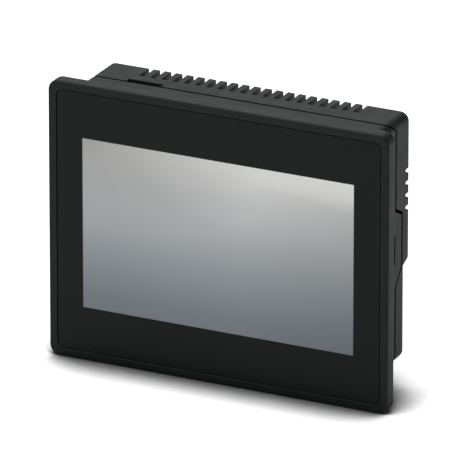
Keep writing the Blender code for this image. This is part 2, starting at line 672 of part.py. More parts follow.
def make_display():
    """The display module: foam ring, steel frame, cell, light guide, LED strip and rear tray."""
    outer = rounded(DISPLAY_WIDTH, DISPLAY_HEIGHT, LAP)
    active = rounded(ACTIVE_WIDTH, ACTIVE_HEIGHT, GAP)
    foam_outer = rounded(ACTIVE_WIDTH + 2 * FOAM_WIDTH, ACTIVE_HEIGHT + 2 * FOAM_WIDTH, LAP)
    foam = frame("display_foam", foam_outer, active, FRONT_PLATE_DEPTH + GAP, DISPLAY_FRONT - GAP)
    dress(foam, "grey_foam")

    shell = slab("lcd_frame", outer, DISPLAY_FRONT, DISPLAY_REAR)
    inner_width = DISPLAY_WIDTH - 2 * DISPLAY_SHEET
    inner_height = DISPLAY_HEIGHT - 2 * DISPLAY_SHEET
    cavity = rounded(inner_width, inner_height, LAP - DISPLAY_SHEET)
    cut(shell, slab("cavity", cavity, DISPLAY_FRONT + DISPLAY_SHEET, DISPLAY_REAR + LAP))
    cut(shell, slab("window", active, DISPLAY_FRONT - LAP, DISPLAY_FRONT + LAP))
    tail = TAILS["lcd_tail"]
    low = (tail["x"] - tail["width"] / 2 - GAP, DISPLAY_FRONT + DISPLAY_SHEET, -DISPLAY_HEIGHT / 2 - LAP)
    high = (tail["x"] + tail["width"] / 2 + GAP, DISPLAY_REAR + LAP, -inner_height / 2 + LAP / 2)
    cut(shell, block("tail_notch", low, high))
    dress(shell, "bright_steel")

    cell_low = tail["start_z"] + GAP
    cell_high = inner_height / 2 - GAP
    front = DISPLAY_FRONT + DISPLAY_SHEET + GAP
    half = inner_width / 2 - GAP
    cell = block("lcd_glass", (-half, front, cell_low), (half, front + CELL_THICKNESS, cell_high))
    dress(cell, "display_grey")

    guide_front = front + CELL_THICKNESS + GAP
    strip_low = cell_low
    strip = block(
        "led_strip",
        (-ACTIVE_WIDTH / 2, guide_front, strip_low),
        (ACTIVE_WIDTH / 2, guide_front + GUIDE_THICKNESS - GAP, strip_low + LED_STRIP_THICKNESS),
    )
    dress(strip, "white_plastic")
    guide_low = strip_low + LED_STRIP_THICKNESS + GAP
    guide = block(
        "light_guide",
        (-half, guide_front, guide_low),
        (half, guide_front + GUIDE_THICKNESS - GAP, cell_high),
    )
    dress(guide, "acrylic")
    tray_front = guide_front + GUIDE_THICKNESS
    tray = block("lcd_back_tray", (-half, tray_front, cell_low), (half, DISPLAY_REAR - GAP / 2, cell_high))
    dress(tray, "bright_steel")


def make_chassis():
    """The steel plate that carries the display, with screw tabs above and below it."""
    top = chassis_places()[0][1] + CHASSIS_BOSS_RADIUS
    bottom = chassis_places()[-1][1] - CHASSIS_BOSS_RADIUS
    edge = BOSS_X - BOSS_RADIUS - 2 * GAP
    plate_low = TAILS["lcd_tail"]["start_z"]
    plate = block("chassis_plate", (-edge, CHASSIS_FRONT, plate_low), (edge, CHASSIS_REAR, top))
    for side in (-1, 1):
        middle = side * CHASSIS_SCREW_X
        low = (middle - CHASSIS_TAB_WIDTH / 2, CHASSIS_FRONT, bottom)
        high = (middle + CHASSIS_TAB_WIDTH / 2, CHASSIS_REAR, plate_low + LAP)
        add(plate, block("tab", low, high))
    for x, z in chassis_places():
        start = (x, CHASSIS_FRONT - LAP, z)
        cut(plate, rod("hole", CASE_SCREW_SHAFT + GAP, start, (0, 1, 0), CHASSIS_THICKNESS + 2 * LAP, 12))
    dress(plate, "bright_steel")
    for number, (x, z) in enumerate(chassis_places(), 1):
        length = CHASSIS_REAR + GAP - (FRONT_PLATE_DEPTH + 2 * LAP)
        shaft = CASE_SCREW_SHAFT - GAP
        head = CASE_SCREW_HEAD - GAP
        profile = [(shaft, 0.0), (shaft, length), (head, length)]
        profile += [(head, length + LAP), (head - GAP, length + 1.5 * LAP)]
        foot = (x, FRONT_PLATE_DEPTH + 2 * LAP, z)
        dress(turned(f"chassis_screw_{number}", profile, foot, (0, 1, 0), 12), "zinc_screw")


def make_main_board():
    half = INNER_WIDTH / 2 - BOARD_CLEARANCE
    low = INNER_BOTTOM + BOARD_CLEARANCE
    high = INNER_TOP - BOARD_CLEARANCE
    board = block("main_board", (-half, BOARD_FRONT, low), (half, BOARD_REAR, high))
    for x, z in boss_places():
        start = (x, BOARD_FRONT - LAP, z)
        cut(board, rod("hole", CASE_SCREW_SHAFT + GAP, start, (0, 1, 0), BOARD_THICKNESS + 2 * LAP, 12))
    return dress(board, "green_board")


def chip(name, place, size, look, seat=COMPONENT_SEAT):
    (x, z), (width, height, thickness) = place, size
    low = (x - width / 2, seat, z - height / 2)
    high = (x + width / 2, seat + thickness, z + height / 2)
    return dress(block(name, low, high), look)


def make_heat_sink(x, z, seat):
    """A finned block whose fins reach towards the vents."""
    reach = TOTAL_DEPTH - WALL - 2 * LAP
    pitch = (HEAT_SINK_WIDTH - FIN_THICKNESS) / (FIN_COUNT - 1)
    left = x - HEAT_SINK_WIDTH / 2
    points = [(left, seat), (left + HEAT_SINK_WIDTH, seat)]
    for index in reversed(range(FIN_COUNT)):
        edge = left + index * pitch
        points += [(edge + FIN_THICKNESS, reach), (edge, reach)]
        if index:
            points.append((edge, seat + HEAT_SINK_BASE))
            points.append((edge - pitch + FIN_THICKNESS, seat + HEAT_SINK_BASE))
    half = HEAT_SINK_LENGTH / 2
    return dress(upright("heat_sink", points, z - half, z + half), "black_anodised")


def make_board_parts():
    """The parts soldered to the board's rear side."""
    core, thickness = PROCESSOR[:2], PROCESSOR[-1]
    chip("processor", core, PROCESSOR[2:], "chip_black")
    pad_seat = COMPONENT_SEAT + thickness + GAP
    chip("thermal_pad", core, THERMAL_PAD_SIZE, "grey_pad", pad_seat)
    make_heat_sink(*core, pad_seat + THERMAL_PAD_SIZE[-1] + GAP)
    for number, place in enumerate(MEMORY_CHIPS, 1):
        chip(f"memory_chip_{number}", place, MEMORY_SIZE, "chip_black")
    chip("power_inductor", INDUCTOR[:2], INDUCTOR[2:], "ferrite")
    chip("input_fuse", FUSE[:2], FUSE[2:], "white_plastic")
    profile = [(radius * MM, height * MM) for radius, height in CAN_PROFILE]
    for number, (x, z) in enumerate(CAPACITORS, 1):
        foot = (x, COMPONENT_SEAT, z)
        dress(turned(f"capacitor_{number}", profile, foot, (0, 1, 0)), "aluminium_can")


def make_backup_battery():
    """A coin cell lying in an open holder."""
    x, z = BATTERY_PLACE
    foot = (x, COMPONENT_SEAT, z)
    holder = rod("battery_holder", CELL_RADIUS + HOLDER_WALL, foot, (0, 1, 0), HOLDER_HEIGHT, 24)
    well = (x, COMPONENT_SEAT + LAP, z)
    cut(holder, rod("well", CELL_RADIUS + GAP, well, (0, 1, 0), 2 * CELL_HEIGHT, 24))
    low = (x - FINGER_GAP_HALF, COMPONENT_SEAT + LAP, z)
    high = (x + FINGER_GAP_HALF, COMPONENT_SEAT + 4 * LAP + CELL_HEIGHT, z + 2 * CELL_RADIUS)
    cut(holder, block("finger_gap", low, high))
    dress(holder, "chip_black")
    seat = (x, COMPONENT_SEAT + LAP + GAP, z)
    profile = [(CELL_RADIUS - CELL_RIM, 0.0), (CELL_RADIUS, CELL_RIM)]
    profile += [(CELL_RADIUS, CELL_HEIGHT - CELL_RIM), (CELL_RADIUS - CELL_RIM, CELL_HEIGHT)]
    dress(turned("backup_battery", profile, seat, (0, 1, 0), 24), "bright_steel")


def pole_places():
    return [POWER_X + (pole - (POLE_COUNT - 1) / 2) * POLE_PITCH for pole in range(POLE_COUNT)]


def make_power_header():
    """The board's power inlet: an open box with one pin for each pole."""
    half = HEADER_WIDTH / 2
    low = (POWER_X - half, COMPONENT_SEAT, CONNECTOR_MOUTH_Z)
    high = (POWER_X + half, COMPONENT_SEAT + HEADER_HEIGHT, CONNECTOR_MOUTH_Z + HEADER_LENGTH)
    body = block("power_header", low, high)
    side = half - HEADER_WALL
    wall = HEADER_WALL * 2
    low = (POWER_X - side, COMPONENT_SEAT + wall, CONNECTOR_MOUTH_Z - LAP)
    high = (POWER_X + side, COMPONENT_SEAT + HEADER_HEIGHT - wall, HEADER_CEILING_Z)
    cut(body, block("cavity", low, high))
    half_pin = PIN_SIZE / 2
    for x in pole_places():
        low = (x - half_pin, POLE_DEPTH - half_pin, HEADER_CEILING_Z - PIN_LENGTH)
        high = (x + half_pin, POLE_DEPTH + half_pin, HEADER_CEILING_Z + LAP)
        add(body, block("pin", low, high))
    return dress(body, "green_plastic")


def plug_block():
    """The plug's outside: the nose in the header and the body below it."""
    half = PLUG_WIDTH / 2
    nose_half = HEADER_HEIGHT / 2 - 2 * HEADER_WALL - GAP
    low = (POWER_X - half, PLUG_FRONT, PLUG_BOTTOM_Z)
    high = (POWER_X + half, PLUG_REAR, PLUG_TOP_Z)
    body = block("power_plug", low, high)
    low = (POWER_X - half, POLE_DEPTH - nose_half, PLUG_TOP_Z - LAP)
    high = (POWER_X + half, POLE_DEPTH + nose_half, CONNECTOR_MOUTH_Z + PLUG_NOSE_LENGTH)
    return add(body, block("nose", low, high))


def make_power_plug():
    """The wire plug: sockets for the pins, a chamber, a wire entry and a screw hole for each pole."""
    body = plug_block()
    slot_half = CONTACT_WIDTH / 2 + GAP
    chamber_half = CAGE_WIDTH / 2 + GAP
    chamber_low = CAGE_LOW_Z - GAP
    chamber_high = CAGE_LOW_Z + CAGE_LENGTH + GAP
    sockets, chambers = [], []
    for x in pole_places():
        low = (x - slot_half, CONTACT_FRONT - GAP, chamber_high - LAP)
        high = (x + slot_half, POLE_DEPTH + PIN_SIZE / 2 + GAP, CONNECTOR_MOUTH_Z + PLUG_NOSE_LENGTH + LAP)
        sockets.append((low, high))
        low = (x - chamber_half, CHAMBER_FRONT, chamber_low)
        high = (x + chamber_half, CHAMBER_REAR, chamber_high)
        chambers.append((low, high))
    cut(body, blocks("chambers", chambers), blocks("sockets", sockets))
    wire_depth = CAGE_FRONT + CAGE_PLATE + CAGE_TRAVEL / 2
    wire_reach = chamber_low - PLUG_BOTTOM_Z + 2 * LAP
    screw_z = CAGE_LOW_Z + CAGE_LENGTH / 2
    screw_reach = PLUG_REAR - CHAMBER_REAR + 2 * LAP
    for x in pole_places():
        entry = (x, wire_depth, PLUG_BOTTOM_Z - LAP)
        cut(body, rod("wire_entry", WIRE_ENTRY_RADIUS, entry, (0, 0, 1), wire_reach, 12))
        access = (x, CHAMBER_REAR - LAP, screw_z)
        cut(body, rod("screw_hole", TERMINAL_HEAD + GAP, access, (0, 1, 0), screw_reach))
    return dress(body, "green_plastic")


def make_terminals():
    """For each pole a contact bar, a clamping cage and the screw that lifts the cage."""
    screw_z = CAGE_LOW_Z + CAGE_LENGTH / 2
    for pole, x in enumerate(pole_places(), 1):
        low = (x - CONTACT_WIDTH / 2, CONTACT_FRONT, CAGE_LOW_Z)
        high = (x + CONTACT_WIDTH / 2, CONTACT_REAR, CONNECTOR_MOUTH_Z + PLUG_NOSE_LENGTH - LAP)
        dress(block(f"plug_contact_{pole}", low, high), "tinned_brass")

        low = (x - CAGE_WIDTH / 2, CAGE_FRONT, CAGE_LOW_Z)
        high = (x + CAGE_WIDTH / 2, CAGE_REAR, CAGE_LOW_Z + CAGE_LENGTH)
        cage = block(f"terminal_cage_{pole}", low, high)
        clear = CAGE_WIDTH / 2 - CAGE_WALL
        low = (x - clear, CAGE_FRONT + CAGE_PLATE, CAGE_LOW_Z - LAP)
        high = (x + clear, CAGE_REAR - CAGE_PLATE, CAGE_LOW_Z + CAGE_LENGTH + LAP)
        cut(cage, block("wire_window", low, high))
        hole = (x, CAGE_REAR - 2 * CAGE_PLATE, screw_z)
        cut(cage, rod("screw_way", TERMINAL_SHAFT + GAP, hole, (0, 1, 0), 3 * CAGE_PLATE, 12))
        dress(cage, "tinned_brass")

        tip = CONTACT_REAR + GAP
        neck = CHAMBER_REAR + GAP - tip
        crown = PLUG_REAR - GAP - tip
        profile = [(TERMINAL_SHAFT, 0.0), (TERMINAL_SHAFT, neck)]
        profile += [(TERMINAL_HEAD, neck), (TERMINAL_HEAD, crown)]
        screw = turned(f"terminal_screw_{pole}", profile, (x, tip, screw_z), (0, 1, 0), 16)
        slot_low = (-TERMINAL_HEAD * 2, -DRIVER_SLOT_WIDTH / 2, crown - DRIVER_SLOT_DEPTH)
        slot_high = (TERMINAL_HEAD * 2, DRIVER_SLOT_WIDTH / 2, crown + LAP)
        slot = block("driver_slot", slot_low, slot_high)
        slot.data.transform(Matrix.Translation((0, -FRONT_Y, 0)))
        slot.matrix_world = screw.matrix_basis.copy()
        cut(screw, slot)
        dress(screw, "zinc_screw")


def make_ethernet_jack():
    """The network socket: a sheet metal shell round a plastic insert with the port in it."""
    width, height, length = ETHERNET_SIZE
    low = (ETHERNET_X - width / 2, COMPONENT_SEAT, CONNECTOR_MOUTH_Z)
    high = (ETHERNET_X + width / 2, COMPONENT_SEAT + height, CONNECTOR_MOUTH_Z + length)
    shell = block("ethernet_shell", low, high)
    inner_low = (low[0] + SHELL_SHEET, low[1] + SHELL_SHEET, low[2] - LAP)
    inner_high = (high[0] - SHELL_SHEET, high[1] - SHELL_SHEET, high[2] - SHELL_SHEET)
    cut(shell, block("inside", inner_low, inner_high))
    dress(shell, "bright_steel")

    low = (inner_low[0] + GAP, inner_low[1] + GAP, CONNECTOR_MOUTH_Z + GAP)
    high = (inner_high[0] - GAP, inner_high[1] - GAP, inner_high[2] - GAP)
    insert = block("ethernet_insert", low, high)
    port_width, port_height, port_length = ETHERNET_PORT
    port_front = low[1] + ETHERNET_PORT_SEAT
    port_low = (ETHERNET_X - port_width / 2, port_front, low[2] - LAP)
    port_high = (ETHERNET_X + port_width / 2, port_front + port_height, low[2] + port_length)
    latch_rear = port_front + port_height + LATCH_DEPTH
    latch_low = (ETHERNET_X - LATCH_HALF_WIDTH, port_front + port_height - LAP, low[2] - LAP)
    latch_high = (ETHERNET_X + LATCH_HALF_WIDTH, latch_rear, low[2] + port_length * LATCH_SHARE)
    cut(insert, block("port", port_low, port_high), block("latch_way", latch_low, latch_high))
    return dress(insert, "chip_black")


def make_usb_port():
    """The service socket: a folded shell and the contact tongue in it."""
    width, height, length = USB_SIZE
    low = (USB_X - width / 2, COMPONENT_SEAT, CONNECTOR_MOUTH_Z)
    high = (USB_X + width / 2, COMPONENT_SEAT + height, CONNECTOR_MOUTH_Z + length)
    shell = block("usb_shell", low, high)
    inner_low = (low[0] + SHELL_SHEET, low[1] + SHELL_SHEET, low[2] - LAP)
    inner_high = (high[0] - SHELL_SHEET, high[1] - SHELL_SHEET, high[2] - SHELL_SHEET)
    cut(shell, block("inside", inner_low, inner_high))
    dress(shell, "bright_steel")
    base_low = (inner_low[0] + GAP, inner_low[1] + GAP, inner_high[2] - GAP - USB_BASE_LENGTH)
    base_high = (inner_high[0] - GAP, inner_high[1] - GAP, inner_high[2] - GAP)
    tongue = block("usb_tongue", base_low, base_high)
    blade_half = USB_BLADE_HALF_WIDTH
    blade_low = (USB_X - blade_half, inner_high[1] - USB_BLADE_SPAN[0], CONNECTOR_MOUTH_Z + LAP)
    blade_high = (USB_X + blade_half, inner_high[1] - USB_BLADE_SPAN[1], base_low[2] + LAP)
    return dress(add(tongue, block("blade", blade_low, blade_high)), "white_plastic")


def d_outline(inset):
    """The slant-sided outline of the serial connector as X and depth points."""
    middle = SERIAL_FRONT + SERIAL_FLANGE[1] / 2
    half_width = SERIAL_MOUTH[0] / 2 - inset
    half_height = SERIAL_MOUTH[1] / 2 - inset
    return [
        (SERIAL_X - half_width + SERIAL_TAPER, middle - half_height),
        (SERIAL_X + half_width - SERIAL_TAPER, middle - half_height),
        (SERIAL_X + half_width, middle + half_height),
        (SERIAL_X - half_width, middle + half_height),
    ]


def upright(name, points, bottom, top):
    """A solid along Z whose outline is given as X and depth points."""
    shape = bmesh.new()
    low = [shape.verts.new((x, at_depth(depth), bottom)) for x, depth in points]
    high = [shape.verts.new((x, at_depth(depth), top)) for x, depth in points]
    for index in range(len(points)):
        following = (index + 1) % len(points)
        shape.faces.new((low[index], low[following], high[following], high[index]))
    shape.faces.new(reversed(low))
    shape.faces.new(high)
    return to_object(name, shape)


def make_serial_port():
    """The serial socket: flanged shell, insulator and two jack screws."""
    width, height, sheet = SERIAL_FLANGE
    front = SERIAL_FRONT
    flange_low = CONNECTOR_MOUTH_Z
    low = (SERIAL_X - width / 2, front, flange_low)
    high = (SERIAL_X + width / 2, front + height, flange_low + sheet)
    shell = block("serial_shell", low, high)
    mouth_z = flange_low - SERIAL_MOUTH[2]
    add(shell, upright("mouth", d_outline(0.0), mouth_z, flange_low + sheet / 2))
    cut(shell, upright("inside", d_outline(SHELL_SHEET), mouth_z - LAP, flange_low + sheet + LAP))
    places = [SERIAL_X + side * JACK_SCREW_SPACING / 2 for side in (-1, 1)]
    middle = front + height / 2
    for x in places:
        cut(shell, rod("hole", JACK_HOLE_RADIUS, (x, middle, flange_low - LAP), (0, 0, 1), 3 * LAP, 12))
    dress(shell, "bright_steel")

    block_low = flange_low + sheet + GAP
    low = (SERIAL_X - width / 2 + GAP, front, block_low)
    high = (SERIAL_X + width / 2 - GAP, front + height, block_low + SERIAL_BLOCK_LENGTH)
    insulator = block("serial_insulator", low, high)
    face = mouth_z + SERIAL_FACE_SETBACK
    add(insulator, upright("face", d_outline(SHELL_SHEET + GAP), face, block_low + LAP))
    for x in places:
        start = (x, middle, block_low - LAP)
        cut(insulator, rod("hole", JACK_HOLE_RADIUS, start, (0, 0, 1), JACK_HOLE_DEPTH, 12))
    dress(insulator, "chip_black")

    for number, x in enumerate(places, 1):
        foot = (x, middle, flange_low - GAP - JACK_HEAD_LENGTH)
        nut = rod(f"jack_screw_{number}", JACK_HEX_RADIUS, foot, (0, 0, 1), JACK_HEAD_LENGTH, 6)
        neck = (x, middle, foot[2] + JACK_HEAD_LENGTH - LAP)
        add(nut, rod("shaft", JACK_SHAFT_RADIUS, neck, (0, 0, 1), JACK_SHAFT_LENGTH, 12))
        mouth = (x, middle, foot[2] - LAP)
        cut(nut, rod("bore", JACK_BORE_RADIUS, mouth, (0, 0, 1), JACK_HEAD_LENGTH, 12))
        dress(nut, "zinc_screw")


def connector_notches():
    """The openings in the cover's bottom wall, one for each connector, open to the cover's front edge."""
    rear = {
        (POWER_X, HEADER_WIDTH): COMPONENT_SEAT + HEADER_HEIGHT,
        (ETHERNET_X, ETHERNET_SIZE[0]): COMPONENT_SEAT + ETHERNET_SIZE[1],
        (USB_X, USB_SIZE[0]): COMPONENT_SEAT + USB_SIZE[1],
        (SERIAL_X, SERIAL_FLANGE[0]): SERIAL_FRONT + SERIAL_FLANGE[1],
    }
    corners = []
    for (x, width), end in rear.items():
        half = width / 2 + CONNECTOR_NOTCH_GAP
        low = (x - half, PARTING_BOTTOM - LAP, HOUSING_BOTTOM - LAP)
        high = (x + half, end + CONNECTOR_NOTCH_GAP, HOUSING_BOTTOM + FOOT_CHAMFER_HEIGHT + WALL)
        corners.append((low, high))
    return blocks("notches", corners)


def back_profile(inset):
    """The cover's back from bottom to top as depth and Z: foot chamfer, thin part, step, thick part."""
    lift = inset / 2
    return [
        (THIN_BACK - FOOT_CHAMFER_DEPTH - inset, HOUSING_BOTTOM - LAP),
        (THIN_BACK - FOOT_CHAMFER_DEPTH - inset, HOUSING_BOTTOM),
        (THIN_BACK - inset, HOUSING_BOTTOM + FOOT_CHAMFER_HEIGHT + lift),
        (THIN_BACK - inset, THICK_BACK_LOW_Z - STEP_RISE + lift),
        (TOTAL_DEPTH - inset, THICK_BACK_LOW_Z + lift),
        (TOTAL_DEPTH - inset, HOUSING_TOP + LAP),
    ]


def cover_block(name):
    """The rear cover's outer shape, still solid."""
    body = slab(name, housing_outline(0.0), PARTING_BOTTOM - LAP, TOTAL_DEPTH + LAP)
    region = back_profile(0.0) + list(reversed(parting_line(1)))
    return combine(body, profile_bar("region", region, -BEZEL_WIDTH, BEZEL_WIDTH), "INTERSECT")


def cover_cavity():
    body = slab("cavity", housing_outline(WALL), 0.0, TOTAL_DEPTH)
    region = back_profile(WALL) + [(0.0, HOUSING_TOP + LAP), (0.0, HOUSING_BOTTOM - LAP)]
    return combine(body, profile_bar("region", region, -BEZEL_WIDTH, BEZEL_WIDTH), "INTERSECT")


def back_at(z):
    return TOTAL_DEPTH if z > THICK_BACK_LOW_Z else THIN_BACK


def add_cover_bosses(body):
    """Tubes for the case screws, trimmed to the cover's outer shape, with sunk screw seats."""
    for x, z in boss_places():
        start = (x, COMPONENT_SEAT, z)
        reach = back_at(z) - WALL / 2 - COMPONENT_SEAT
        tube = rod("boss", COVER_BOSS_RADIUS, start, (0, 1, 0), reach, 20)
        combine(tube, cover_block("limit"), "INTERSECT")
        add(body, tube)
    for x, z in boss_places():
        through = (x, COMPONENT_SEAT - LAP, z)
        reach = TOTAL_DEPTH - COMPONENT_SEAT + 2 * LAP
        cut(body, rod("hole", CASE_SCREW_SHAFT + GAP, through, (0, 1, 0), reach, 12))
        seat = (x, back_at(z) - CASE_SCREW_RECESS, z)
        cut(body, rod("seat", CASE_SCREW_HEAD + GAP, seat, (0, 1, 0), CASE_SCREW_RECESS + LAP))


def top_vents():
    """Slots through the top wall's rear part and down the back."""
    corners = []
    for index in range(TOP_VENT_COUNT):
        x = (index - (TOP_VENT_COUNT - 1) / 2) * TOP_VENT_PITCH
        low = (x - TOP_VENT_WIDTH / 2, TOTAL_DEPTH - TOP_VENT_LENGTH, HOUSING_TOP - TOP_VENT_DROP)
        high = (x + TOP_VENT_WIDTH / 2, TOTAL_DEPTH + LAP, HOUSING_TOP + LAP)
        corners.append((low, high))
    return blocks("top_vents", corners)


def side_vents():
    """Slots across the rear side edges."""
    corners = []
    for index in range(SIDE_VENT_COUNT):
        z = SIDE_VENT_TOP_Z - index * SIDE_VENT_PITCH
        for side in (-1, 1):
            reach = sorted((side * (HOUSING_WIDTH / 2 - SIDE_VENT_LENGTH), side * (HOUSING_WIDTH / 2 + LAP)))
            low = (reach[0], TOTAL_DEPTH - SIDE_VENT_REACH, z - SIDE_VENT_WIDTH / 2)
            high = (reach[1], TOTAL_DEPTH + LAP, z + SIDE_VENT_WIDTH / 2)
            corners.append((low, high))
    return blocks("side_vents", corners)


def make_rear_cover():
    body = cover_block("rear_cover")
    cut(body, cover_cavity())
    add_cover_bosses(body)
    cut(body, top_vents(), side_vents(), connector_notches(), top_clamp_slot())
    low = (-LABEL_WIDTH / 2, THIN_BACK - LABEL_RECESS, LABEL_Z - LABEL_HEIGHT / 2)
    high = (LABEL_WIDTH / 2, THIN_BACK + LAP, LABEL_Z + LABEL_HEIGHT / 2)
    cut(body, block("label_recess", low, high))
    return dress(body, "black_plastic")


def make_case_screws():
    for number, (x, z) in enumerate(boss_places(), 1):
        seat = back_at(z) - CASE_SCREW_RECESS + GAP
        length = seat - CASE_SCREW_TIP
        crown = length + CASE_SCREW_HEAD_HEIGHT
        profile = [(CASE_SCREW_SHAFT, 0.0), (CASE_SCREW_SHAFT, length), (CASE_SCREW_HEAD, length)]
        profile.append((CASE_SCREW_HEAD, crown - CASE_SCREW_CHAMFER))
        profile.append((CASE_SCREW_HEAD - CASE_SCREW_CHAMFER, crown))
        foot = (x, CASE_SCREW_TIP, z)
        dress(turned(f"case_screw_{number}", profile, foot, (0, 1, 0), 16), "zinc_screw")


def make_rating_label():
    floor = THIN_BACK - LABEL_RECESS
    width = LABEL_WIDTH - 2 * GAP
    height = LABEL_HEIGHT - 2 * GAP
    outline = rounded(width, height, LAP, 0.0, LABEL_Z)
    front = floor + GAP / 2
    return dress(slab("rating_label", outline, front, front + LABEL_THICKNESS), "label_silver")


def main():
    for body in list(bpy.data.objects):
        bpy.data.objects.remove(body)
    make_front_bezel()
    make_panel_gasket()
    make_front_laminate()
    make_tail("touch_tail")
    make_display()
    make_tail("lcd_tail")
    make_chassis()
    make_main_board()
    make_board_parts()
    make_backup_battery()
    make_power_header()
    make_power_plug()
    make_terminals()
    make_ethernet_jack()
    make_usb_port()
    make_serial_port()
    make_rear_cover()
    make_case_screws()
    make_rating_label()


main()
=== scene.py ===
# Panel-mount operator terminal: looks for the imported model.
# Lengths are in metres, in the part's own frame: +X right, +Y to the back, +Z up.
import math

import bmesh
import bpy
from mathutils import Matrix, Vector


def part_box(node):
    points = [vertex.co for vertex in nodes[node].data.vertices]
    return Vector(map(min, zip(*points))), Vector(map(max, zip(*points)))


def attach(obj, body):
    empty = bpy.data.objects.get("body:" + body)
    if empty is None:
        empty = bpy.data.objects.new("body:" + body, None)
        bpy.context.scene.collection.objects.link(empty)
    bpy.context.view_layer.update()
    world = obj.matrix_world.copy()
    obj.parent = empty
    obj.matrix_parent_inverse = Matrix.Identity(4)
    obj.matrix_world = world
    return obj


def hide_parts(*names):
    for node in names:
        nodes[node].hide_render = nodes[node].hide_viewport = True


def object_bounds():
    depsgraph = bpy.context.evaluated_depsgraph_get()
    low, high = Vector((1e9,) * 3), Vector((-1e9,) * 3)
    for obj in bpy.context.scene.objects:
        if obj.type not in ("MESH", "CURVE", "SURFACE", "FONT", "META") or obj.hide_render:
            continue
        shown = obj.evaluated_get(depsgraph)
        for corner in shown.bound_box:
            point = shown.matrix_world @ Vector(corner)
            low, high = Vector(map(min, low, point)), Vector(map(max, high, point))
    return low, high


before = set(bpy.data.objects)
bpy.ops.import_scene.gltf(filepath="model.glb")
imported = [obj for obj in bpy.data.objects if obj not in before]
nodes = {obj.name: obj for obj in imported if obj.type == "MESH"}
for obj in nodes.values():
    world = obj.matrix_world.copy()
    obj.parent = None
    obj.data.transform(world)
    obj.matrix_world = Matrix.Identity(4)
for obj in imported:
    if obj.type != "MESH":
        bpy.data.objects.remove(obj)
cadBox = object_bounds()
mm = 0.001
print("frame loaded:", len(nodes), "nodes")

scene = bpy.context.scene
frontY = cadBox[0][1]
bezelWidth = cadBox[1][0] - cadBox[0][0]
bezelHeight = cadBox[1][2] - cadBox[0][2]
totalDepth = cadBox[1][1] - frontY


# shader tools

white = (1.0, 1.0, 1.0, 1.0)


def link(tree, source, output, target, socket):
    tree.links.new(source.outputs[output], target.inputs[socket])


def nodeOf(tree, kind, values):
    # a shader node with its input values
    node = tree.nodes.new("ShaderNode" + kind)
    for socket, value in values.items():
        node.inputs[socket].default_value = value
    return node


def rangeOf(tree, source, output, fromLow, fromHigh, toLow, toHigh):
    values = {"From Min": fromLow, "From Max": fromHigh, "To Min": toLow, "To Max": toHigh}
    node = nodeOf(tree, "MapRange", values)
    link(tree, source, output, node, "Value")
    return node


def mathOf(tree, operation, first, second):
    # two (node, output) pairs in one operation
    node = tree.nodes.new("ShaderNodeMath")
    node.operation = operation
    link(tree, *first, node, 0)
    link(tree, *second, node, 1)
    return node


# camera, floor and light

cameraPlace = {
    "azimuth": 26.0,
    "elevation": 21.2,
    "distance": 4.8,
    "fieldWidth": 226.8 * mm,  # what the picture spans at the front face
    "aimRight": 5.9 * mm,
    "aimUp": 8.8 * mm,
    "sensor": 36.0,
}


def directionOf(azimuth, elevation):
    turn, lift = math.radians(azimuth), math.radians(elevation)
    return Vector((math.sin(turn) * math.cos(lift), -math.cos(turn) * math.cos(lift), math.sin(lift)))


def placeCamera(place):
    away = directionOf(place["azimuth"], place["elevation"])
    turn = math.radians(place["azimuth"])
    right = Vector((math.cos(turn), math.sin(turn), 0.0))
    up = away.cross(right)
    aim = Vector((0.0, frontY, 0.0)) + right * place["aimRight"] + up * place["aimUp"]
    data = bpy.data.cameras.new("viewCamera")
    data.sensor_width = place["sensor"]
    data.lens = place["sensor"] * place["distance"] / place["fieldWidth"]
    data.clip_start = 0.05
    data.clip_end = 50.0
    camera = bpy.data.objects.new("viewCamera", data)
    scene.collection.objects.link(camera)
    camera.location = aim + away * place["distance"]
    camera.rotation_euler = (-away).to_track_quat("-Z", "Y").to_euler()
    scene.camera = camera


roomLight = {
    "backdrop": 1.0,
    "world": 0.17,
    "softBoxes": [
        # name, azimuth, elevation, distance, size, watts
        ("softTop", 20.0, 80.0, 1.1, 1.5, 3.2),
        ("softRight", 120.0, 2.0, 1.3, 0.7, 2.3),
        ("softBehind", 214.0, 30.0, 1.5, 0.9, 1.25),
        ("softBack", 195.0, 58.0, 1.3, 1.0, 4.3),
        ("softFront", -30.0, 45.0, 1.5, 1.2, 11.0),
    ],
}


def placeLights(light):
    for name, azimuth, elevation, distance, size, watts in light["softBoxes"]:
        away = directionOf(azimuth, elevation)
        data = bpy.data.lights.new(name, "AREA")
        data.shape = "SQUARE"
        data.size = size
        data.energy = watts
        lamp = bpy.data.objects.new(name, data)
        scene.collection.objects.link(lamp)
        lamp.location = away * distance
        lamp.rotation_euler = (-away).to_track_quat("-Z", "Y").to_euler()
    # a white backdrop to look at, and a dimmer room to light the terminal
    world = bpy.data.worlds.new("paleRoom")
    world.use_nodes = True
    tree = world.node_tree
    room = nodeOf(tree, "Background", {"Color": white, "Strength": light["world"]})
    backdrop = nodeOf(tree, "Background", {"Color": white, "Strength": light["backdrop"]})
    seen = tree.nodes.new("ShaderNodeLightPath")
    choice = tree.nodes.new("ShaderNodeMixShader")
    link(tree, seen, "Is Camera Ray", choice, 0)
    link(tree, room, "Background", choice, 1)
    link(tree, backdrop, "Background", choice, 2)
    link(tree, choice, "Shader", tree.nodes["World Output"], "Surface")
    scene.world = world


floorLook = {
    "halfSize": 6.0,
    "drop": 0.05 * mm,  # below the terminal's lowest edge
    "pale": 0.96,
    "contact": 0.02,  # painted contact shadow: how dark the floor's colour is where something stands on it
    "reach": 40.0 * mm,
    "closed": 0.56,  # openness above the floor where the painted shadow is darkest, and where the floor is pale again
    "open": 0.84,
    "lift": 0.65,  # the floor's own brightness, as of a light table
}


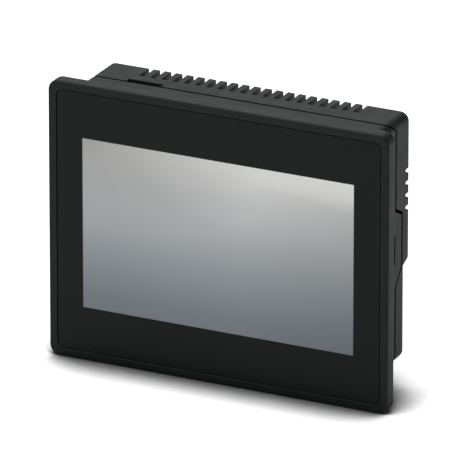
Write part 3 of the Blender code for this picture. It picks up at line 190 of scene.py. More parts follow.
def makeFloor(look):
    shape = bmesh.new()
    bmesh.ops.create_grid(shape, x_segments=1, y_segments=1, size=look["halfSize"])
    mesh = bpy.data.meshes.new("studioFloor")
    shape.to_mesh(mesh)
    shape.free()
    floor = bpy.data.objects.new("studioFloor", mesh)
    scene.collection.objects.link(floor)
    floor.location = (0.0, 0.0, cadBox[0][2] - look["drop"])
    material = bpy.data.materials.new("paleFloorPaintedShadow")
    material.use_nodes = True
    tree = material.node_tree
    shader = tree.nodes["Principled BSDF"]
    shader.inputs["Roughness"].default_value = 0.9
    shader.inputs["Specular IOR Level"].default_value = 0.1
    # painted contact shadow: the floor's colour darkens where the terminal hides the sky above it
    paintedShadowMask = nodeOf(tree, "AmbientOcclusion", {"Distance": look["reach"]})
    paintedShadowMask.samples = 12
    shade = rangeOf(tree, paintedShadowMask, "AO", look["closed"], look["open"], look["contact"], look["pale"])
    link(tree, shade, "Result", shader, "Base Color")
    link(tree, shade, "Result", shader, "Emission Color")
    # the floor glows for the camera only, and the painted contact shadow darkens the glow too
    seen = tree.nodes.new("ShaderNodeLightPath")
    glow = nodeOf(tree, "Math", {1: look["lift"]})
    glow.operation = "MULTIPLY"
    link(tree, seen, "Is Camera Ray", glow, 0)
    link(tree, glow, "Value", shader, "Emission Strength")
    mesh.materials.append(material)


scene.view_settings.view_transform = "Standard"
scene.view_settings.look = "None"
placeCamera(cameraPlace)
placeLights(roomLight)
makeFloor(floorLook)
print("camera, light and floor placed")


# finishes

noiseBand = (0.3, 0.7)  # where most of a noise's values lie
wornEdge = (0.52, 0.62)  # pointiness from which an edge is worn, and where it is fully worn


def noiseOf(tree, place, scale, detail, stretch=None):
    # noise in the piece's own coordinates, scale in cells a metre
    texture = nodeOf(tree, "TexNoise", {"Scale": scale, "Detail": detail})
    if stretch:
        mapping = nodeOf(tree, "Mapping", {"Scale": stretch})
        link(tree, place, "Object", mapping, "Vector")
        link(tree, mapping, "Vector", texture, "Vector")
    else:
        link(tree, place, "Object", texture, "Vector")
    return texture


def mixOf(tree, factor, output, first, second):
    # a colour mix, each side a colour or a (node, output) pair
    node = tree.nodes.new("ShaderNodeMix")
    node.data_type = "RGBA"
    link(tree, factor, output, node, 0)
    for socket, side in ((6, first), (7, second)):
        if isinstance(side[0], bpy.types.Node):
            tree.links.new(side[0].outputs[side[1]], node.inputs[socket])
        else:
            node.inputs[socket].default_value = (*side, 1.0)
    return node


def scaled(colour, factor):
    return tuple(min(1.0, part * factor) for part in colour)


def startMaterial(name, look):
    material = bpy.data.materials.new(name)
    material.use_nodes = True
    tree = material.node_tree
    shader = tree.nodes["Principled BSDF"]
    shader.inputs["Base Color"].default_value = (*look["colour"], 1.0)
    shader.inputs["Roughness"].default_value = look["roughness"]
    shader.inputs["Metallic"].default_value = look.get("metal", 0.0)
    shader.inputs["Specular IOR Level"].default_value = look.get("shine", 0.5)
    material.diffuse_color = (*look["colour"], 1.0)
    place = tree.nodes.new("ShaderNodeTexCoord")
    return material, tree, shader, place


def raiseGrain(tree, shader, grain, look):
    strength, height = look.get("relief", 0.4), look.get("height", 0.02 * mm)
    bump = nodeOf(tree, "Bump", {"Strength": strength, "Distance": height})
    link(tree, grain, "Fac", bump, "Height")
    link(tree, bump, "Normal", shader, "Normal")


def addGrain(tree, shader, place, look):
    # fine relief, patchy roughness and a slight drift of the colour, with paler worn edges
    stretch = look.get("stretch")
    grain = noiseOf(tree, place, 1.0 / look["grain"], 2.0, stretch)
    raiseGrain(tree, shader, grain, look)
    patch = noiseOf(tree, place, 1.0 / look.get("patch", 9.0 * mm), 4.0)
    blotch = rangeOf(tree, patch, "Fac", *noiseBand, -0.05, 0.05)
    streak = rangeOf(tree, grain, "Fac", *noiseBand, look["roughness"] - 0.04, look["roughness"] + 0.04)
    rough = mathOf(tree, "ADD", (blotch, "Result"), (streak, "Result"))
    link(tree, rough, "Value", shader, "Roughness")
    drift = look.get("drift", 0.12)
    darker, paler = (scaled(look["colour"], 1.0 + side * drift) for side in (-1, 1))
    colour = mixOf(tree, patch, "Fac", darker, paler)
    if look.get("wear"):
        edge = tree.nodes.new("ShaderNodeNewGeometry")
        worn = rangeOf(tree, edge, "Pointiness", *wornEdge, 0.0, look["wear"])
        colour = mixOf(tree, worn, "Result", (colour, 2), look["wornColour"])
    link(tree, colour, 2, shader, "Base Color")
    return colour


def plainFinish(name, look):
    material, tree, shader, place = startMaterial(name, look)
    addGrain(tree, shader, place, look)
    return material


finishes = {
    "mouldedBlack": {
        "colour": (0.0066, 0.0104, 0.0096), "roughness": 0.40, "shine": 0.24, "grain": 0.45 * mm,
        "relief": 0.35, "height": 0.012 * mm, "wear": 0.5, "wornColour": (0.030, 0.034, 0.033),
    },
    "sealRubber": {
        "colour": (0.012, 0.012, 0.012), "roughness": 0.85, "shine": 0.2, "grain": 0.6 * mm, "relief": 0.5,
    },
    "filmBlack": {
        "colour": (0.0066, 0.0086, 0.0082), "roughness": 0.36, "shine": 0.18, "grain": 0.25 * mm,
        "relief": 0.10, "height": 0.004 * mm, "drift": 0.05, "patch": 40.0 * mm,
    },
    "spacerWhite": {"colour": (0.72, 0.73, 0.70), "roughness": 0.5, "grain": 0.5 * mm},
    "greyFoam": {"colour": (0.09, 0.09, 0.09), "roughness": 0.95, "grain": 0.4 * mm, "relief": 0.9},
    "rolledSteel": {
        "colour": (0.58, 0.58, 0.56), "roughness": 0.34, "metal": 1.0, "grain": 0.25 * mm,
        "stretch": (0.05, 1.0, 1.0), "relief": 0.25, "wear": 0.3, "wornColour": (0.85, 0.85, 0.84),
    },
    "tinnedBrass": {
        "colour": (0.66, 0.63, 0.52), "roughness": 0.30, "metal": 1.0, "grain": 0.3 * mm, "relief": 0.2,
    },
    "goldPlate": {
        "colour": (0.83, 0.60, 0.22), "roughness": 0.22, "metal": 1.0, "grain": 0.3 * mm, "relief": 0.1,
    },
    "zincPlate": {
        "colour": (0.55, 0.57, 0.60), "roughness": 0.30, "metal": 1.0, "grain": 0.2 * mm, "relief": 0.25,
        "drift": 0.2, "patch": 2.0 * mm, "wear": 0.4, "wornColour": (0.8, 0.8, 0.8),
    },
    "amberFilm": {"colour": (0.50, 0.22, 0.04), "roughness": 0.35, "grain": 0.6 * mm, "relief": 0.1},
    "chipResin": {"colour": (0.018, 0.018, 0.020), "roughness": 0.55, "grain": 0.15 * mm, "relief": 0.3},
    "insulatorBlack": {
        "colour": (0.014, 0.014, 0.015), "roughness": 0.42, "grain": 0.3 * mm, "relief": 0.15,
    },
    "ivoryPlastic": {"colour": (0.72, 0.71, 0.66), "roughness": 0.42, "grain": 0.4 * mm, "relief": 0.15},
    "terminalGreen": {
        "colour": (0.022, 0.20, 0.075), "roughness": 0.44, "grain": 0.35 * mm, "relief": 0.25,
        "wear": 0.3, "wornColour": (0.08, 0.34, 0.16),
    },
    "thermalGrey": {"colour": (0.30, 0.33, 0.38), "roughness": 0.85, "grain": 0.5 * mm, "relief": 0.6},
    "ferriteGrey": {"colour": (0.07, 0.07, 0.08), "roughness": 0.78, "grain": 0.25 * mm, "relief": 0.6},
    "drawnAluminium": {
        "colour": (0.68, 0.68, 0.68), "roughness": 0.28, "metal": 1.0, "grain": 0.3 * mm,
        "stretch": (1.0, 0.05, 1.0), "relief": 0.15,
    },
    "anodisedBlack": {
        "colour": (0.035, 0.035, 0.040), "roughness": 0.42, "metal": 0.6, "grain": 0.25 * mm,
        "stretch": (1.0, 1.0, 0.04), "relief": 0.2, "wear": 0.3, "wornColour": (0.3, 0.3, 0.3),
    },
    "lightGuide": {"colour": (0.80, 0.84, 0.86), "roughness": 0.12, "grain": 1.2 * mm, "relief": 0.2},
    "touchGlass": {"colour": (0.45, 0.50, 0.50), "roughness": 0.06, "grain": 6.0 * mm, "relief": 0.02},
    "cellGlass": {"colour": (0.10, 0.11, 0.12), "roughness": 0.10, "grain": 6.0 * mm, "relief": 0.02},
}

displayLook = {
    "colour": (0.30, 0.32, 0.33),
    "roughness": 0.34,
    "shine": 0.25,
    "grain": 0.12 * mm,
    "relief": 0.08,
    "height": 0.004 * mm,
    "gain": 1.34,
    # painted reflection: how light the display's colour is from its top edge to its bottom edge
    "paintedReflectionBands": [(0.0, 0.72, 0.72, 0.70), (0.2, 0.535, 0.545, 0.54), (0.5, 0.33, 0.35, 0.365),
              (0.8, 0.195, 0.22, 0.24), (1.0, 0.155, 0.18, 0.20)],
    # the rest are shares of the window's width and height
    "sideShade": 0.80,  # painted shade at the right edge of the lower half
    "sideStart": 0.6,
    "sideFade": (0.5, 0.1),  # down from the top, where the side's shade is full and where it ends
    "cornerShade": 0.46,
    "cornerReach": (0.66, 0.50),
    "cornerEnd": 1.1,
}


def displayFinish(window, look):
    # an unlit display under a matt touch foil, its colour a painted reflection: pale above, darker below and
    # in one upper corner
    material, tree, shader, place = startMaterial("displayPaintedReflection", look)
    (left, top), (width, height) = window
    axes = tree.nodes.new("ShaderNodeSeparateXYZ")
    link(tree, place, "Object", axes, "Vector")
    # painted reflection, lighter towards the top edge
    down = rangeOf(tree, axes, "Z", top - height, top, 1.0, 0.0)
    ramp = tree.nodes.new("ShaderNodeValToRGB")
    ramp.color_ramp.interpolation = "B_SPLINE"
    stops = ramp.color_ramp.elements
    while len(stops) < len(look["paintedReflectionBands"]):
        stops.new(0.5)
    for stop, (position, *colour) in zip(stops, look["paintedReflectionBands"]):
        stop.position = position
        stop.color = (*scaled(colour, look["gain"]), 1.0)
    link(tree, down, "Result", ramp, "Fac")
    # painted shade darkening the upper left corner
    across = rangeOf(tree, axes, "X", left, left + width * look["cornerReach"][0], 0.0, 1.0)
    fallen = rangeOf(tree, axes, "Z", top, top - height * look["cornerReach"][1], 0.0, 1.0)
    distance = tree.nodes.new("ShaderNodeVectorMath")
    distance.operation = "LENGTH"
    pair = tree.nodes.new("ShaderNodeCombineXYZ")
    link(tree, across, "Result", pair, "X")
    link(tree, fallen, "Result", pair, "Y")
    link(tree, pair, "Vector", distance, 0)
    corner = rangeOf(tree, distance, "Value", 0.0, look["cornerEnd"], look["cornerShade"], 1.0)
    shade = mixOf(tree, corner, "Result", (0.0, 0.0, 0.0), (ramp, "Color"))
    # painted shade towards the right edge of the lower half
    beside = rangeOf(tree, axes, "X", left + width * look["sideStart"], left + width, 1.0, look["sideShade"])
    full, ended = (top - height * share for share in look["sideFade"])
    above = rangeOf(tree, axes, "Z", full, ended, 0.0, 1.0)
    sideways = mathOf(tree, "MAXIMUM", (beside, "Result"), (above, "Result"))
    faded = mixOf(tree, sideways, "Value", (0.0, 0.0, 0.0), (shade, 2))
    link(tree, faded, 2, shader, "Base Color")
    sparkle = noiseOf(tree, place, 1.0 / look["grain"], 1.0)
    raiseGrain(tree, shader, sparkle, look)
    rough = rangeOf(tree, sparkle, "Fac", *noiseBand, look["roughness"] - 0.03, look["roughness"] + 0.03)
    link(tree, rough, "Result", shader, "Roughness")
    return material


boardLook = {
    "colour": (0.012, 0.105, 0.045),
    "roughness": 0.38,
    "grain": 0.3 * mm,
    "traceColour": (0.03, 0.21, 0.09),
    "lineOffset": 0.5,
    "cellWidth": 14.0 * mm,
    "cellHeight": 1.6 * mm,
    "lineWidth": 0.22 * mm,
    "holeColour": (0.62, 0.60, 0.52),
    "holePitch": 3.2 * mm,
    "holeEdge": (0.10, 0.13),  # shares of the pitch
}


def ruledLines(tree, place, look):
    # lines on an upright face, round cells of a width and height
    turn = nodeOf(tree, "Mapping", {"Rotation": (math.radians(90.0), 0.0, 0.0)})
    link(tree, place, "Object", turn, "Vector")
    lines = nodeOf(tree, "TexBrick", {
        "Scale": 1.0, "Brick Width": look["cellWidth"], "Row Height": look["cellHeight"],
        "Mortar Size": look["lineWidth"], "Mortar Smooth": 0.1,
    })
    lines.offset = look["lineOffset"]
    link(tree, turn, "Vector", lines, "Vector")
    return lines, turn


def boardFinish(look):
    # solder mask over copper traces, with tinned holes
    material, tree, shader, place = startMaterial("solderMask", look)
    base = addGrain(tree, shader, place, look)
    tracks, turn = ruledLines(tree, place, look)
    traced = mixOf(tree, tracks, "Fac", (base, 2), look["traceColour"])
    spots = nodeOf(tree, "TexVoronoi", {"Scale": 1.0 / look["holePitch"]})
    link(tree, turn, "Vector", spots, "Vector")
    ring = rangeOf(tree, spots, "Distance", *look["holeEdge"], 1.0, 0.0)
    drilled = mixOf(tree, ring, "Result", (traced, 2), look["holeColour"])
    link(tree, drilled, 2, shader, "Base Color")
    return material


labelLook = {
    "colour": (0.52, 0.52, 0.51),
    "roughness": 0.48,
    "metal": 0.3,
    "grain": 0.25 * mm,
    "stretch": (0.08, 1.0, 1.0),
    "ruleColour": (0.05, 0.05, 0.05),
    "lineOffset": 0.0,
    "cellWidth": 33.0 * mm,
    "cellHeight": 9.0 * mm,
    "lineWidth": 0.25 * mm,
}


def labelFinish(look):
    # a blank foil label with printed ruling and nothing written on it
    material, tree, shader, place = startMaterial("blankLabel", look)
    base = addGrain(tree, shader, place, look)
    ruling, _ = ruledLines(tree, place, look)
    ruled = mixOf(tree, ruling, "Fac", (base, 2), look["ruleColour"])
    link(tree, ruled, 2, shader, "Base Color")
    return material


materials = {name: plainFinish(name, look) for name, look in finishes.items()}
materials["solderMask"] = boardFinish(boardLook)
materials["blankLabel"] = labelFinish(labelLook)
print("finishes made:", len(materials))


# mesh tools

roundSteps = 9
backwards = (0, 1, 0)
upwards = (0, 0, 1)
nearSkin = 0.05 * mm  # an edge this near to a shell's outside counts as on it


def roundedOutline(width, height, radius, centre=(0.0, 0.0)):
    # a rectangle with round corners as X and Z points, anticlockwise seen from the front
    points = []
    for quarter, (sideX, sideZ) in enumerate([(1, -1), (1, 1), (-1, 1), (-1, -1)]):
        cornerX = centre[0] + sideX * (width / 2 - radius)
        cornerZ = centre[1] + sideZ * (height / 2 - radius)
        for step in range(roundSteps + 1):
            angle = math.radians(-90 + 90 * quarter + 90 * step / roundSteps)
            points.append((cornerX + radius * math.cos(angle), cornerZ + radius * math.sin(angle)))
    return points


def toObject(name, shape):
    bmesh.ops.recalc_face_normals(shape, faces=shape.faces)
    mesh = bpy.data.meshes.new(name)
    shape.to_mesh(mesh)
    shape.free()
    body = bpy.data.objects.new(name, mesh)
    scene.collection.objects.link(body)
    return body


def skin(shape, rings, closed=False):
    # faces between rings of points; closed joins the last to the first, else both ends are capped
    pairs = list(zip(rings, rings[1:]))
    if closed:
        pairs.append((rings[-1], rings[0]))
    for near, far in pairs:
        for index in range(len(near)):
            following = (index + 1) % len(near)
            shape.faces.new((near[index], far[index], far[following], near[following]))
    if not closed:
        shape.faces.new(rings[0])
        shape.faces.new(reversed(rings[-1]))


def ringLoft(name, sections, closed=False):
    # a skin through outlines of equal count, each (depth, points)
    shape = bmesh.new()
    rings = [[shape.verts.new((x, frontY + depth, z)) for x, z in points] for depth, points in sections]
    skin(shape, rings, closed)
    return toObject(name, shape)


def boxes(name, corners):
    # boxes from their low to their high corners, each X, depth and Z
    shape = bmesh.new()
    for low, high in corners:
        for vertex in bmesh.ops.create_cube(shape, size=1.0)["verts"]:
            shares = [part + 0.5 for part in vertex.co]
            x, depth, z = (near + part * (far - near) for near, far, part in zip(low, high, shares))
            vertex.co = (x, frontY + depth, z)
    return toObject(name, shape)


def notch(x, z, reach, start, end):
    # a box round a point, with a reach along X and Z
    return boxes("notch", [((x - reach[0], start, z - reach[1]), (x + reach[0], end, z + reach[1]))])


def softBox(name, low, high, width=0.2 * mm, segments=2):
    body = boxes(name, [(low, high)])
    soften(body, width, segments)
    return body


def profileBars(name, points, spans):
    # bars along X, one for each (left, right), whose section is given as depth and Z points
    shape = bmesh.new()
    for span in spans:
        skin(shape, [[shape.verts.new((x, frontY + depth, z)) for depth, z in points] for x in span])
    return toObject(name, shape)


def profileBar(name, points, left, right):
    return profileBars(name, points, [(left, right)])


def roundCorners(points, radius, steps=4):
    # a convex outline with its corners rounded
    rounded = []
    for index, point in enumerate(points):
        corner = Vector(point)
        before = (Vector(points[index - 1]) - corner).normalized()
        after = (Vector(points[(index + 1) % len(points)]) - corner).normalized()
        half = before.angle(after) / 2
        first = corner + before * radius / math.tan(half)
        last = corner + after * radius / math.tan(half)
        centre = corner + (before + after).normalized() * radius / math.sin(half)
        for step in range(steps + 1):
            spoke = (first - centre).lerp(last - centre, step / steps).normalized() * radius
            rounded.append(tuple(centre + spoke))
    return rounded


def upright(name, points, bottom, top):
    # a solid along Z whose outline is given as X and depth points
    shape = bmesh.new()
    skin(shape, [[shape.verts.new((x, frontY + depth, z)) for x, depth in points] for z in (bottom, top)])
    return toObject(name, shape)


def turned(name, profile, foot, direction, sides=32):
    # a turned piece from radius and height points; a radius of 0 closes an end in one point
    shape = bmesh.new()
    rings = []
    for radius, height in profile:
        if radius == 0.0:
            rings.append([shape.verts.new((0.0, 0.0, height))])
            continue
        rings.append([])
        for side in range(sides):
            angle = 2 * math.pi * side / sides
            rings[-1].append(shape.verts.new((radius * math.cos(angle), radius * math.sin(angle), height)))
    for lower, upper in zip(rings, rings[1:]):
        for side in range(sides):
            following = (side + 1) % sides
            corners = [lower[side % len(lower)], lower[following % len(lower)]]
            corners += [upper[following % len(upper)], upper[side % len(upper)]]
            corners = list(dict.fromkeys(corners))
            shape.faces.new(corners)
    for ring in (rings[0], rings[-1]):
        if len(ring) > 1:
            shape.faces.new(ring)
    turn = Vector((0, 0, 1)).rotation_difference(Vector(direction)).to_matrix().to_4x4()
    place = Matrix.Translation((foot[0], frontY + foot[1], foot[2]))
    shape.transform(place @ turn)
    return toObject(name, shape)


def rod(name, radius, foot, direction, length, sides=24):
    return turned(name, [(radius, 0.0), (radius, length)], foot, direction, sides)


def combine(body, tool, operation):
    modifier = body.modifiers.new(operation, "BOOLEAN")
    modifier.operation = operation
    modifier.solver = "EXACT"
    modifier.object = tool
    bpy.context.view_layer.update()
    graph = bpy.context.evaluated_depsgraph_get()
    mesh = bpy.data.meshes.new_from_object(body.evaluated_get(graph))
    body.modifiers.clear()
    body.data = mesh
    bpy.data.objects.remove(tool)


def cut(body, *tools):
    for tool in tools:
        combine(body, tool, "DIFFERENCE")


def add(body, *tools):
    for tool in tools:
        combine(body, tool, "UNION")


def soften(body, width, segments=2, angle=32.0, keep=None):
    # rounds the sharp edges, or only those that keep() picks
    shape = bmesh.new()
    shape.from_mesh(body.data)
    bmesh.ops.remove_doubles(shape, verts=shape.verts, dist=0.002 * mm)
    bmesh.ops.dissolve_limit(shape, angle_limit=math.radians(0.5), verts=shape.verts, edges=shape.edges)
    limit = math.radians(angle)
    edges = []
    for edge in shape.edges:
        if len(edge.link_faces) == 2 and edge.calc_face_angle(0.0) > limit:
            if edge.calc_length() > width and (keep is None or keep(edge)):
                edges.append(edge)
    bmesh.ops.bevel(
        shape, geom=edges, offset=width, offset_type="OFFSET", segments=segments, profile=0.5,
        affect="EDGES", clamp_overlap=False,
    )
    bmesh.ops.remove_doubles(shape, verts=shape.verts, dist=0.002 * mm)
    bmesh.ops.recalc_face_normals(shape, faces=shape.faces)
    shape.to_mesh(body.data)
    shape.free()


def shade(body, angle=38.0):
    # smooth round edges beside faces that stay flat
    body.data.shade_smooth()
    body.data.set_sharp_from_angle(angle=math.radians(angle))
    flat = body.modifiers.new("flatFaces", "WEIGHTED_NORMAL")
    flat.weight = 90
    flat.keep_sharp = True


def dress(body, finish, bodyName, slotName, *replaced):
    # the last step of every piece: finish, shading, the body it rides on and the nodes it stands for
    body.data.materials.clear()
    body.data.materials.append(materials[finish])
    shade(body)
    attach(body, bodyName)
    if replaced:
        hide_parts(*replaced)
    return body


# front frame

bezel = {
    "cornerRadius": 5.5 * mm,
    "flangeDepth": 7.2 * mm,
    "frontRound": 0.8 * mm,
    "rearRound": 0.4 * mm,
    "plateDepth": 5.2 * mm,
    "recessMargin": 4.35 * mm,
    "recessRadius": 3.9 * mm,
    "recessDepth": 1.0 * mm,
    "grooveWidth": 0.9 * mm,
    "grooveDepth": 2.6 * mm,
    "grooveLip": 0.25 * mm,
    "pocketDepth": 3.5 * mm,
    "foamWidth": 2.0 * mm,
    "fit": 0.3 * mm,
    "ribLength": 150.0 * mm,
    "ribHeight": 2.2 * mm,
    "ribDepth": 4.0 * mm,
    "bossRadius": 3.4 * mm,
    "chassisBossRadius": 2.8 * mm,
    "pilotRadius": 1.7 * mm,
    "pilotDepth": 9.0 * mm,
}

seal = {
    "edge": 1.2 * mm,
    "grooveWidth": 2.6 * mm,
    "grooveDepth": 1.5 * mm,
    "width": 2.0 * mm,
    "proud": 0.8 * mm,
    "fit": 0.3 * mm,
}

housing = {
    "sideInset": 10.6 * mm,
    "topInset": 4.4 * mm,
    "bottomInset": 13.9 * mm,
    "radius": 4.6 * mm,
    "wall": 2.2 * mm,
    "lap": 1.0 * mm,
    "edgeRound": 0.3 * mm,
}

parting = {
    "top": 24.7 * mm,
    "side": 31.4 * mm,
    "tab": 38.9 * mm,
    "bottom": 21.5 * mm,
    "gap": 1.1 * mm,
    "tabTop": 18.3 * mm,
    "tabRise": 4.0 * mm,
    "tabBottom": -9.0 * mm,
    "tabFall": 10.3 * mm,
}

clampSlots = {
    "length": 19.0 * mm,
    "width": 4.5 * mm,
    "topX": -53.1 * mm,
    "sideLength": 15.5 * mm,
    "sideZ": 1.35 * mm,
    "sideRear": 30.9 * mm,
}

houseWidth = bezelWidth - 2 * housing["sideInset"]
houseTop = bezelHeight / 2 - housing["topInset"]
houseBottom = housing["bottomInset"] - bezelHeight / 2


def bezelOutline(inset):
    radius = bezel["cornerRadius"] - inset
    return roundedOutline(bezelWidth - 2 * inset, bezelHeight - 2 * inset, radius)


def recessOutline(inset):
    margin = bezel["recessMargin"] + inset
    return roundedOutline(bezelWidth - 2 * margin, bezelHeight - 2 * margin, bezel["recessRadius"] - inset)


def sealOutline(inset):
    margin = seal["edge"] + inset
    radius = bezel["cornerRadius"] - seal["edge"] - inset / 2
    return roundedOutline(bezelWidth - 2 * margin, bezelHeight - 2 * margin, radius)


def housingOutline(inset):
    size = (houseWidth - 2 * inset, houseTop - houseBottom - 2 * inset)
    return roundedOutline(*size, housing["radius"] - inset, (0.0, (houseTop + houseBottom) / 2))


def sheetOutline(node, grow, radius):
    low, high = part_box(node)
    centre = ((low[0] + high[0]) / 2, (low[2] + high[2]) / 2)
    return roundedOutline(high[0] - low[0] + 2 * grow, high[2] - low[2] + 2 * grow, radius, centre)


def partingLine(side):
    # the joint line from bottom to top as depth and Z, moved to the front (-1) or rear (+1) shell
    shift = side * parting["gap"] / 2
    inside = houseBottom + housing["wall"]
    jog = inside + parting["gap"] / 2 - shift
    lap = housing["lap"]
    return [
        (parting["bottom"] + shift, houseBottom - lap),
        (parting["bottom"] + shift, jog),
        (parting["side"] + shift, jog),
        (parting["side"] + shift, parting["tabBottom"] - parting["tabFall"]),
        (parting["tab"] + shift, parting["tabBottom"]),
        (parting["tab"] + shift, parting["tabTop"] + shift),
        (parting["side"] + shift, parting["tabTop"] + parting["tabRise"] + shift),
        (parting["side"] + shift, houseTop - housing["radius"]),
        (parting["top"] + shift, houseTop),
        (parting["top"] + shift, houseTop + lap),
    ]


def quarterRound(radius, steps, depth, inset, flip=False):
    # depth and inset pairs of a round edge, from the face to the side, or back with flip
    pairs = []
    for step in range(steps + 1):
        angle = math.radians(90.0 * step / steps)
        pairs.append((depth + radius * (1 - math.cos(angle)), inset + radius * (1 - math.sin(angle))))
    return list(reversed(pairs)) if flip else pairs


def bezelSections():
    # one closed profile: opening, pocket, groove, front, side, seal groove, walls and back to the opening
    flange, plate = bezel["flangeDepth"], bezel["plateDepth"]
    opening = sheetOutline("display_foam", -bezel["foamWidth"], 1.0 * mm)
    pocket = sheetOutline("touch_glass", bezel["fit"], 1.0 * mm)
    lip = bezel["grooveLip"]
    sections = [(plate, opening), (bezel["pocketDepth"], opening), (bezel["pocketDepth"], pocket)]
    sections.append((bezel["recessDepth"], pocket))
    for depth in (bezel["recessDepth"], bezel["grooveDepth"]):
        sections.append((depth, recessOutline(bezel["grooveWidth"])))
    sections.append((bezel["grooveDepth"], recessOutline(0.0)))
    for step in range(5):
        angle = math.radians(90.0 * step / 4)
        grow = lip * (1 - math.cos(angle))
        sections.append((lip * (1 - math.sin(angle)), recessOutline(-grow)))
    for depth, inset in quarterRound(bezel["frontRound"], 7, 0.0, 0.0):
        sections.append((depth, bezelOutline(inset)))
    rear = bezel["rearRound"]
    for step in range(4):
        angle = math.radians(90.0 * step / 3)
        sections.append((flange - rear * (1 - math.sin(angle)), bezelOutline(rear * (1 - math.cos(angle)))))
    for depth, inset in ((flange, 0.0), (flange - seal["grooveDepth"], 0.0)):
        sections.append((depth, sealOutline(inset)))
    for depth in (flange - seal["grooveDepth"], flange):
        sections.append((depth, sealOutline(seal["grooveWidth"])))
    wallRear = parting["tab"] + housing["lap"]
    sections += [(flange, housingOutline(0.0)), (wallRear, housingOutline(0.0))]
    sections += [(wallRear, housingOutline(housing["wall"])), (plate, housingOutline(housing["wall"]))]
    return sections


def bezelRegion():
    # all of the flange, and the walls up to the joint line
    lap, flange = housing["lap"], bezel["flangeDepth"]
    edge = bezelHeight / 2 + lap
    points = [(-lap, -edge), (flange + lap / 2, -edge), (flange + lap / 2, houseBottom - lap)]
    points += partingLine(-1)
    points += [(flange + lap / 2, houseTop + lap), (flange + lap / 2, edge), (-lap, edge)]
    return profileBar("region", points, -bezelWidth, bezelWidth)


def topClampSlot():
    half = clampSlots["length"] / 2
    front = parting["top"] - parting["gap"] / 2
    low = (clampSlots["topX"] - half, front, houseTop - housing["wall"] - housing["lap"])
    high = (clampSlots["topX"] + half, front + clampSlots["width"], houseTop + housing["lap"])
    return boxes("clampSlot", [(low, high)])


def sideClampSlots():
    half = clampSlots["sideLength"] / 2
    low = (-bezelWidth, clampSlots["sideRear"] - clampSlots["width"], clampSlots["sideZ"] - half)
    high = (bezelWidth, clampSlots["sideRear"], clampSlots["sideZ"] + half)
    return boxes("sideSlots", [(low, high)])


def screwPlaces(kind):
    # X and Z of the four screws of a kind
    places = []
    for number in range(1, 5):
        low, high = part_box(f"{kind}_{number}")
        places.append(((low[0] + high[0]) / 2, (low[2] + high[2]) / 2))
    return places


def underSkin(point):
    # how far a point lies inside the housing's outline
    radius = housing["radius"]
    acrossX = abs(point.x) - (houseWidth / 2 - radius)
    acrossZ = abs(point.z - (houseTop + houseBottom) / 2) - ((houseTop - houseBottom) / 2 - radius)
    if acrossX > 0 and acrossZ > 0:
        return radius - math.hypot(acrossX, acrossZ)
    return radius - max(acrossX, acrossZ)


def makeBezelFrame():
    body = ringLoft("bezelFrame", bezelSections(), closed=True)
    combine(body, bezelRegion(), "INTERSECT")
    half = bezel["ribLength"] / 2
    low = (-half, bezel["flangeDepth"] - housing["lap"], -houseTop)
    high = (half, bezel["flangeDepth"] + bezel["ribDepth"], bezel["ribHeight"] - houseTop)
    add(body, boxes("rib", [(low, high)]))
    start = bezel["plateDepth"] - housing["lap"]
    seats = []
    for kind, radius, part in (
        ("case_screw", bezel["bossRadius"], "main_board"),
        ("chassis_screw", bezel["chassisBossRadius"], "chassis_plate"),
    ):
        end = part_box(part)[0][1] - frontY - bezel["fit"]
        seats += [(radius, end, x, z) for x, z in screwPlaces(kind)]
    for radius, end, x, z in seats:
        add(body, rod("boss", radius, (x, start, z), backwards, end - start))
    for radius, end, x, z in seats:
        floor = max(end - bezel["pilotDepth"], bezel["plateDepth"] + housing["lap"])
        cut(body, rod("pilot", bezel["pilotRadius"], (x, floor, z), backwards, end - floor + housing["lap"]))
    tailLow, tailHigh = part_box("touch_tail")
    fit = bezel["fit"]
    low = (tailLow[0] - fit, -housing["lap"], tailLow[2] - fit)
    high = (tailHigh[0] + fit, bezel["plateDepth"] + housing["lap"], 0.0)
    cut(body, boxes("tailSlot", [(low, high)]), topClampSlot(), sideClampSlots())
    flangeRear = frontY + bezel["flangeDepth"] + housing["lap"] / 2

    def onWallSkin(edge):
        return all(vertex.co.y > flangeRear and underSkin(vertex.co) < nearSkin for vertex in edge.verts)

    soften(body, housing["edgeRound"], 2, 32.0, onWallSkin)
    return dress(body, "mouldedBlack", "housing", "black_plastic", "front_bezel")


def makeGasketRing():
    low = bezel["flangeDepth"] - seal["grooveDepth"] + seal["fit"]
    outerInset, half = seal["fit"], seal["width"] / 2
    sections = [(low, sealOutline(outerInset))]
    for step in range(9):
        angle = math.radians(180.0 * step / 8)
        depth = bezel["flangeDepth"] + seal["proud"] * math.sin(angle)
        sections.append((depth, sealOutline(outerInset + half - half * math.cos(angle))))
    sections.append((low, sealOutline(outerInset + 2 * half)))
    body = ringLoft("gasketRing", sections, closed=True)
    return dress(body, "sealRubber", "housing", "rubber_black", "panel_gasket")


# front laminate and display window

laminate = {
    "setback": 0.25 * mm,
    "rear": 0.87 * mm,
    "margin": 0.42 * mm,  # from the recess wall to the film
    "edgeRound": 0.08 * mm,
    "seam": 0.03 * mm,
    "paneDrop": 0.01 * mm,
    "bleedX": 1.9 * mm,  # how far the surround covers the display's active area
    "bleedZ": 1.4 * mm,
}


def windowBox():
    # upper left corner and size of the display window
    low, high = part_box("display_foam")
    aside, above = bezel["foamWidth"] + laminate["bleedX"], bezel["foamWidth"] + laminate["bleedZ"]
    return (low[0] + aside, high[2] - above), (high[0] - low[0] - 2 * aside, high[2] - low[2] - 2 * above)


def makeFrontFilm():
    (left, top), (width, height) = windowBox()
    window = roundedOutline(width, height, 0.3 * mm, (left + width / 2, top - height / 2))
    margin = laminate["margin"]
    sections = [(laminate["rear"], window), (laminate["setback"], window)]
    for depth, inset in quarterRound(laminate["edgeRound"], 3, laminate["setback"], margin):
        sections.append((depth, recessOutline(inset)))
    sections.append((laminate["rear"], recessOutline(margin)))
    body = ringLoft("frontFilm", sections, closed=True)
    return dress(body, "filmBlack", "housing", "black_ink", "overlay_film", "print_mask")


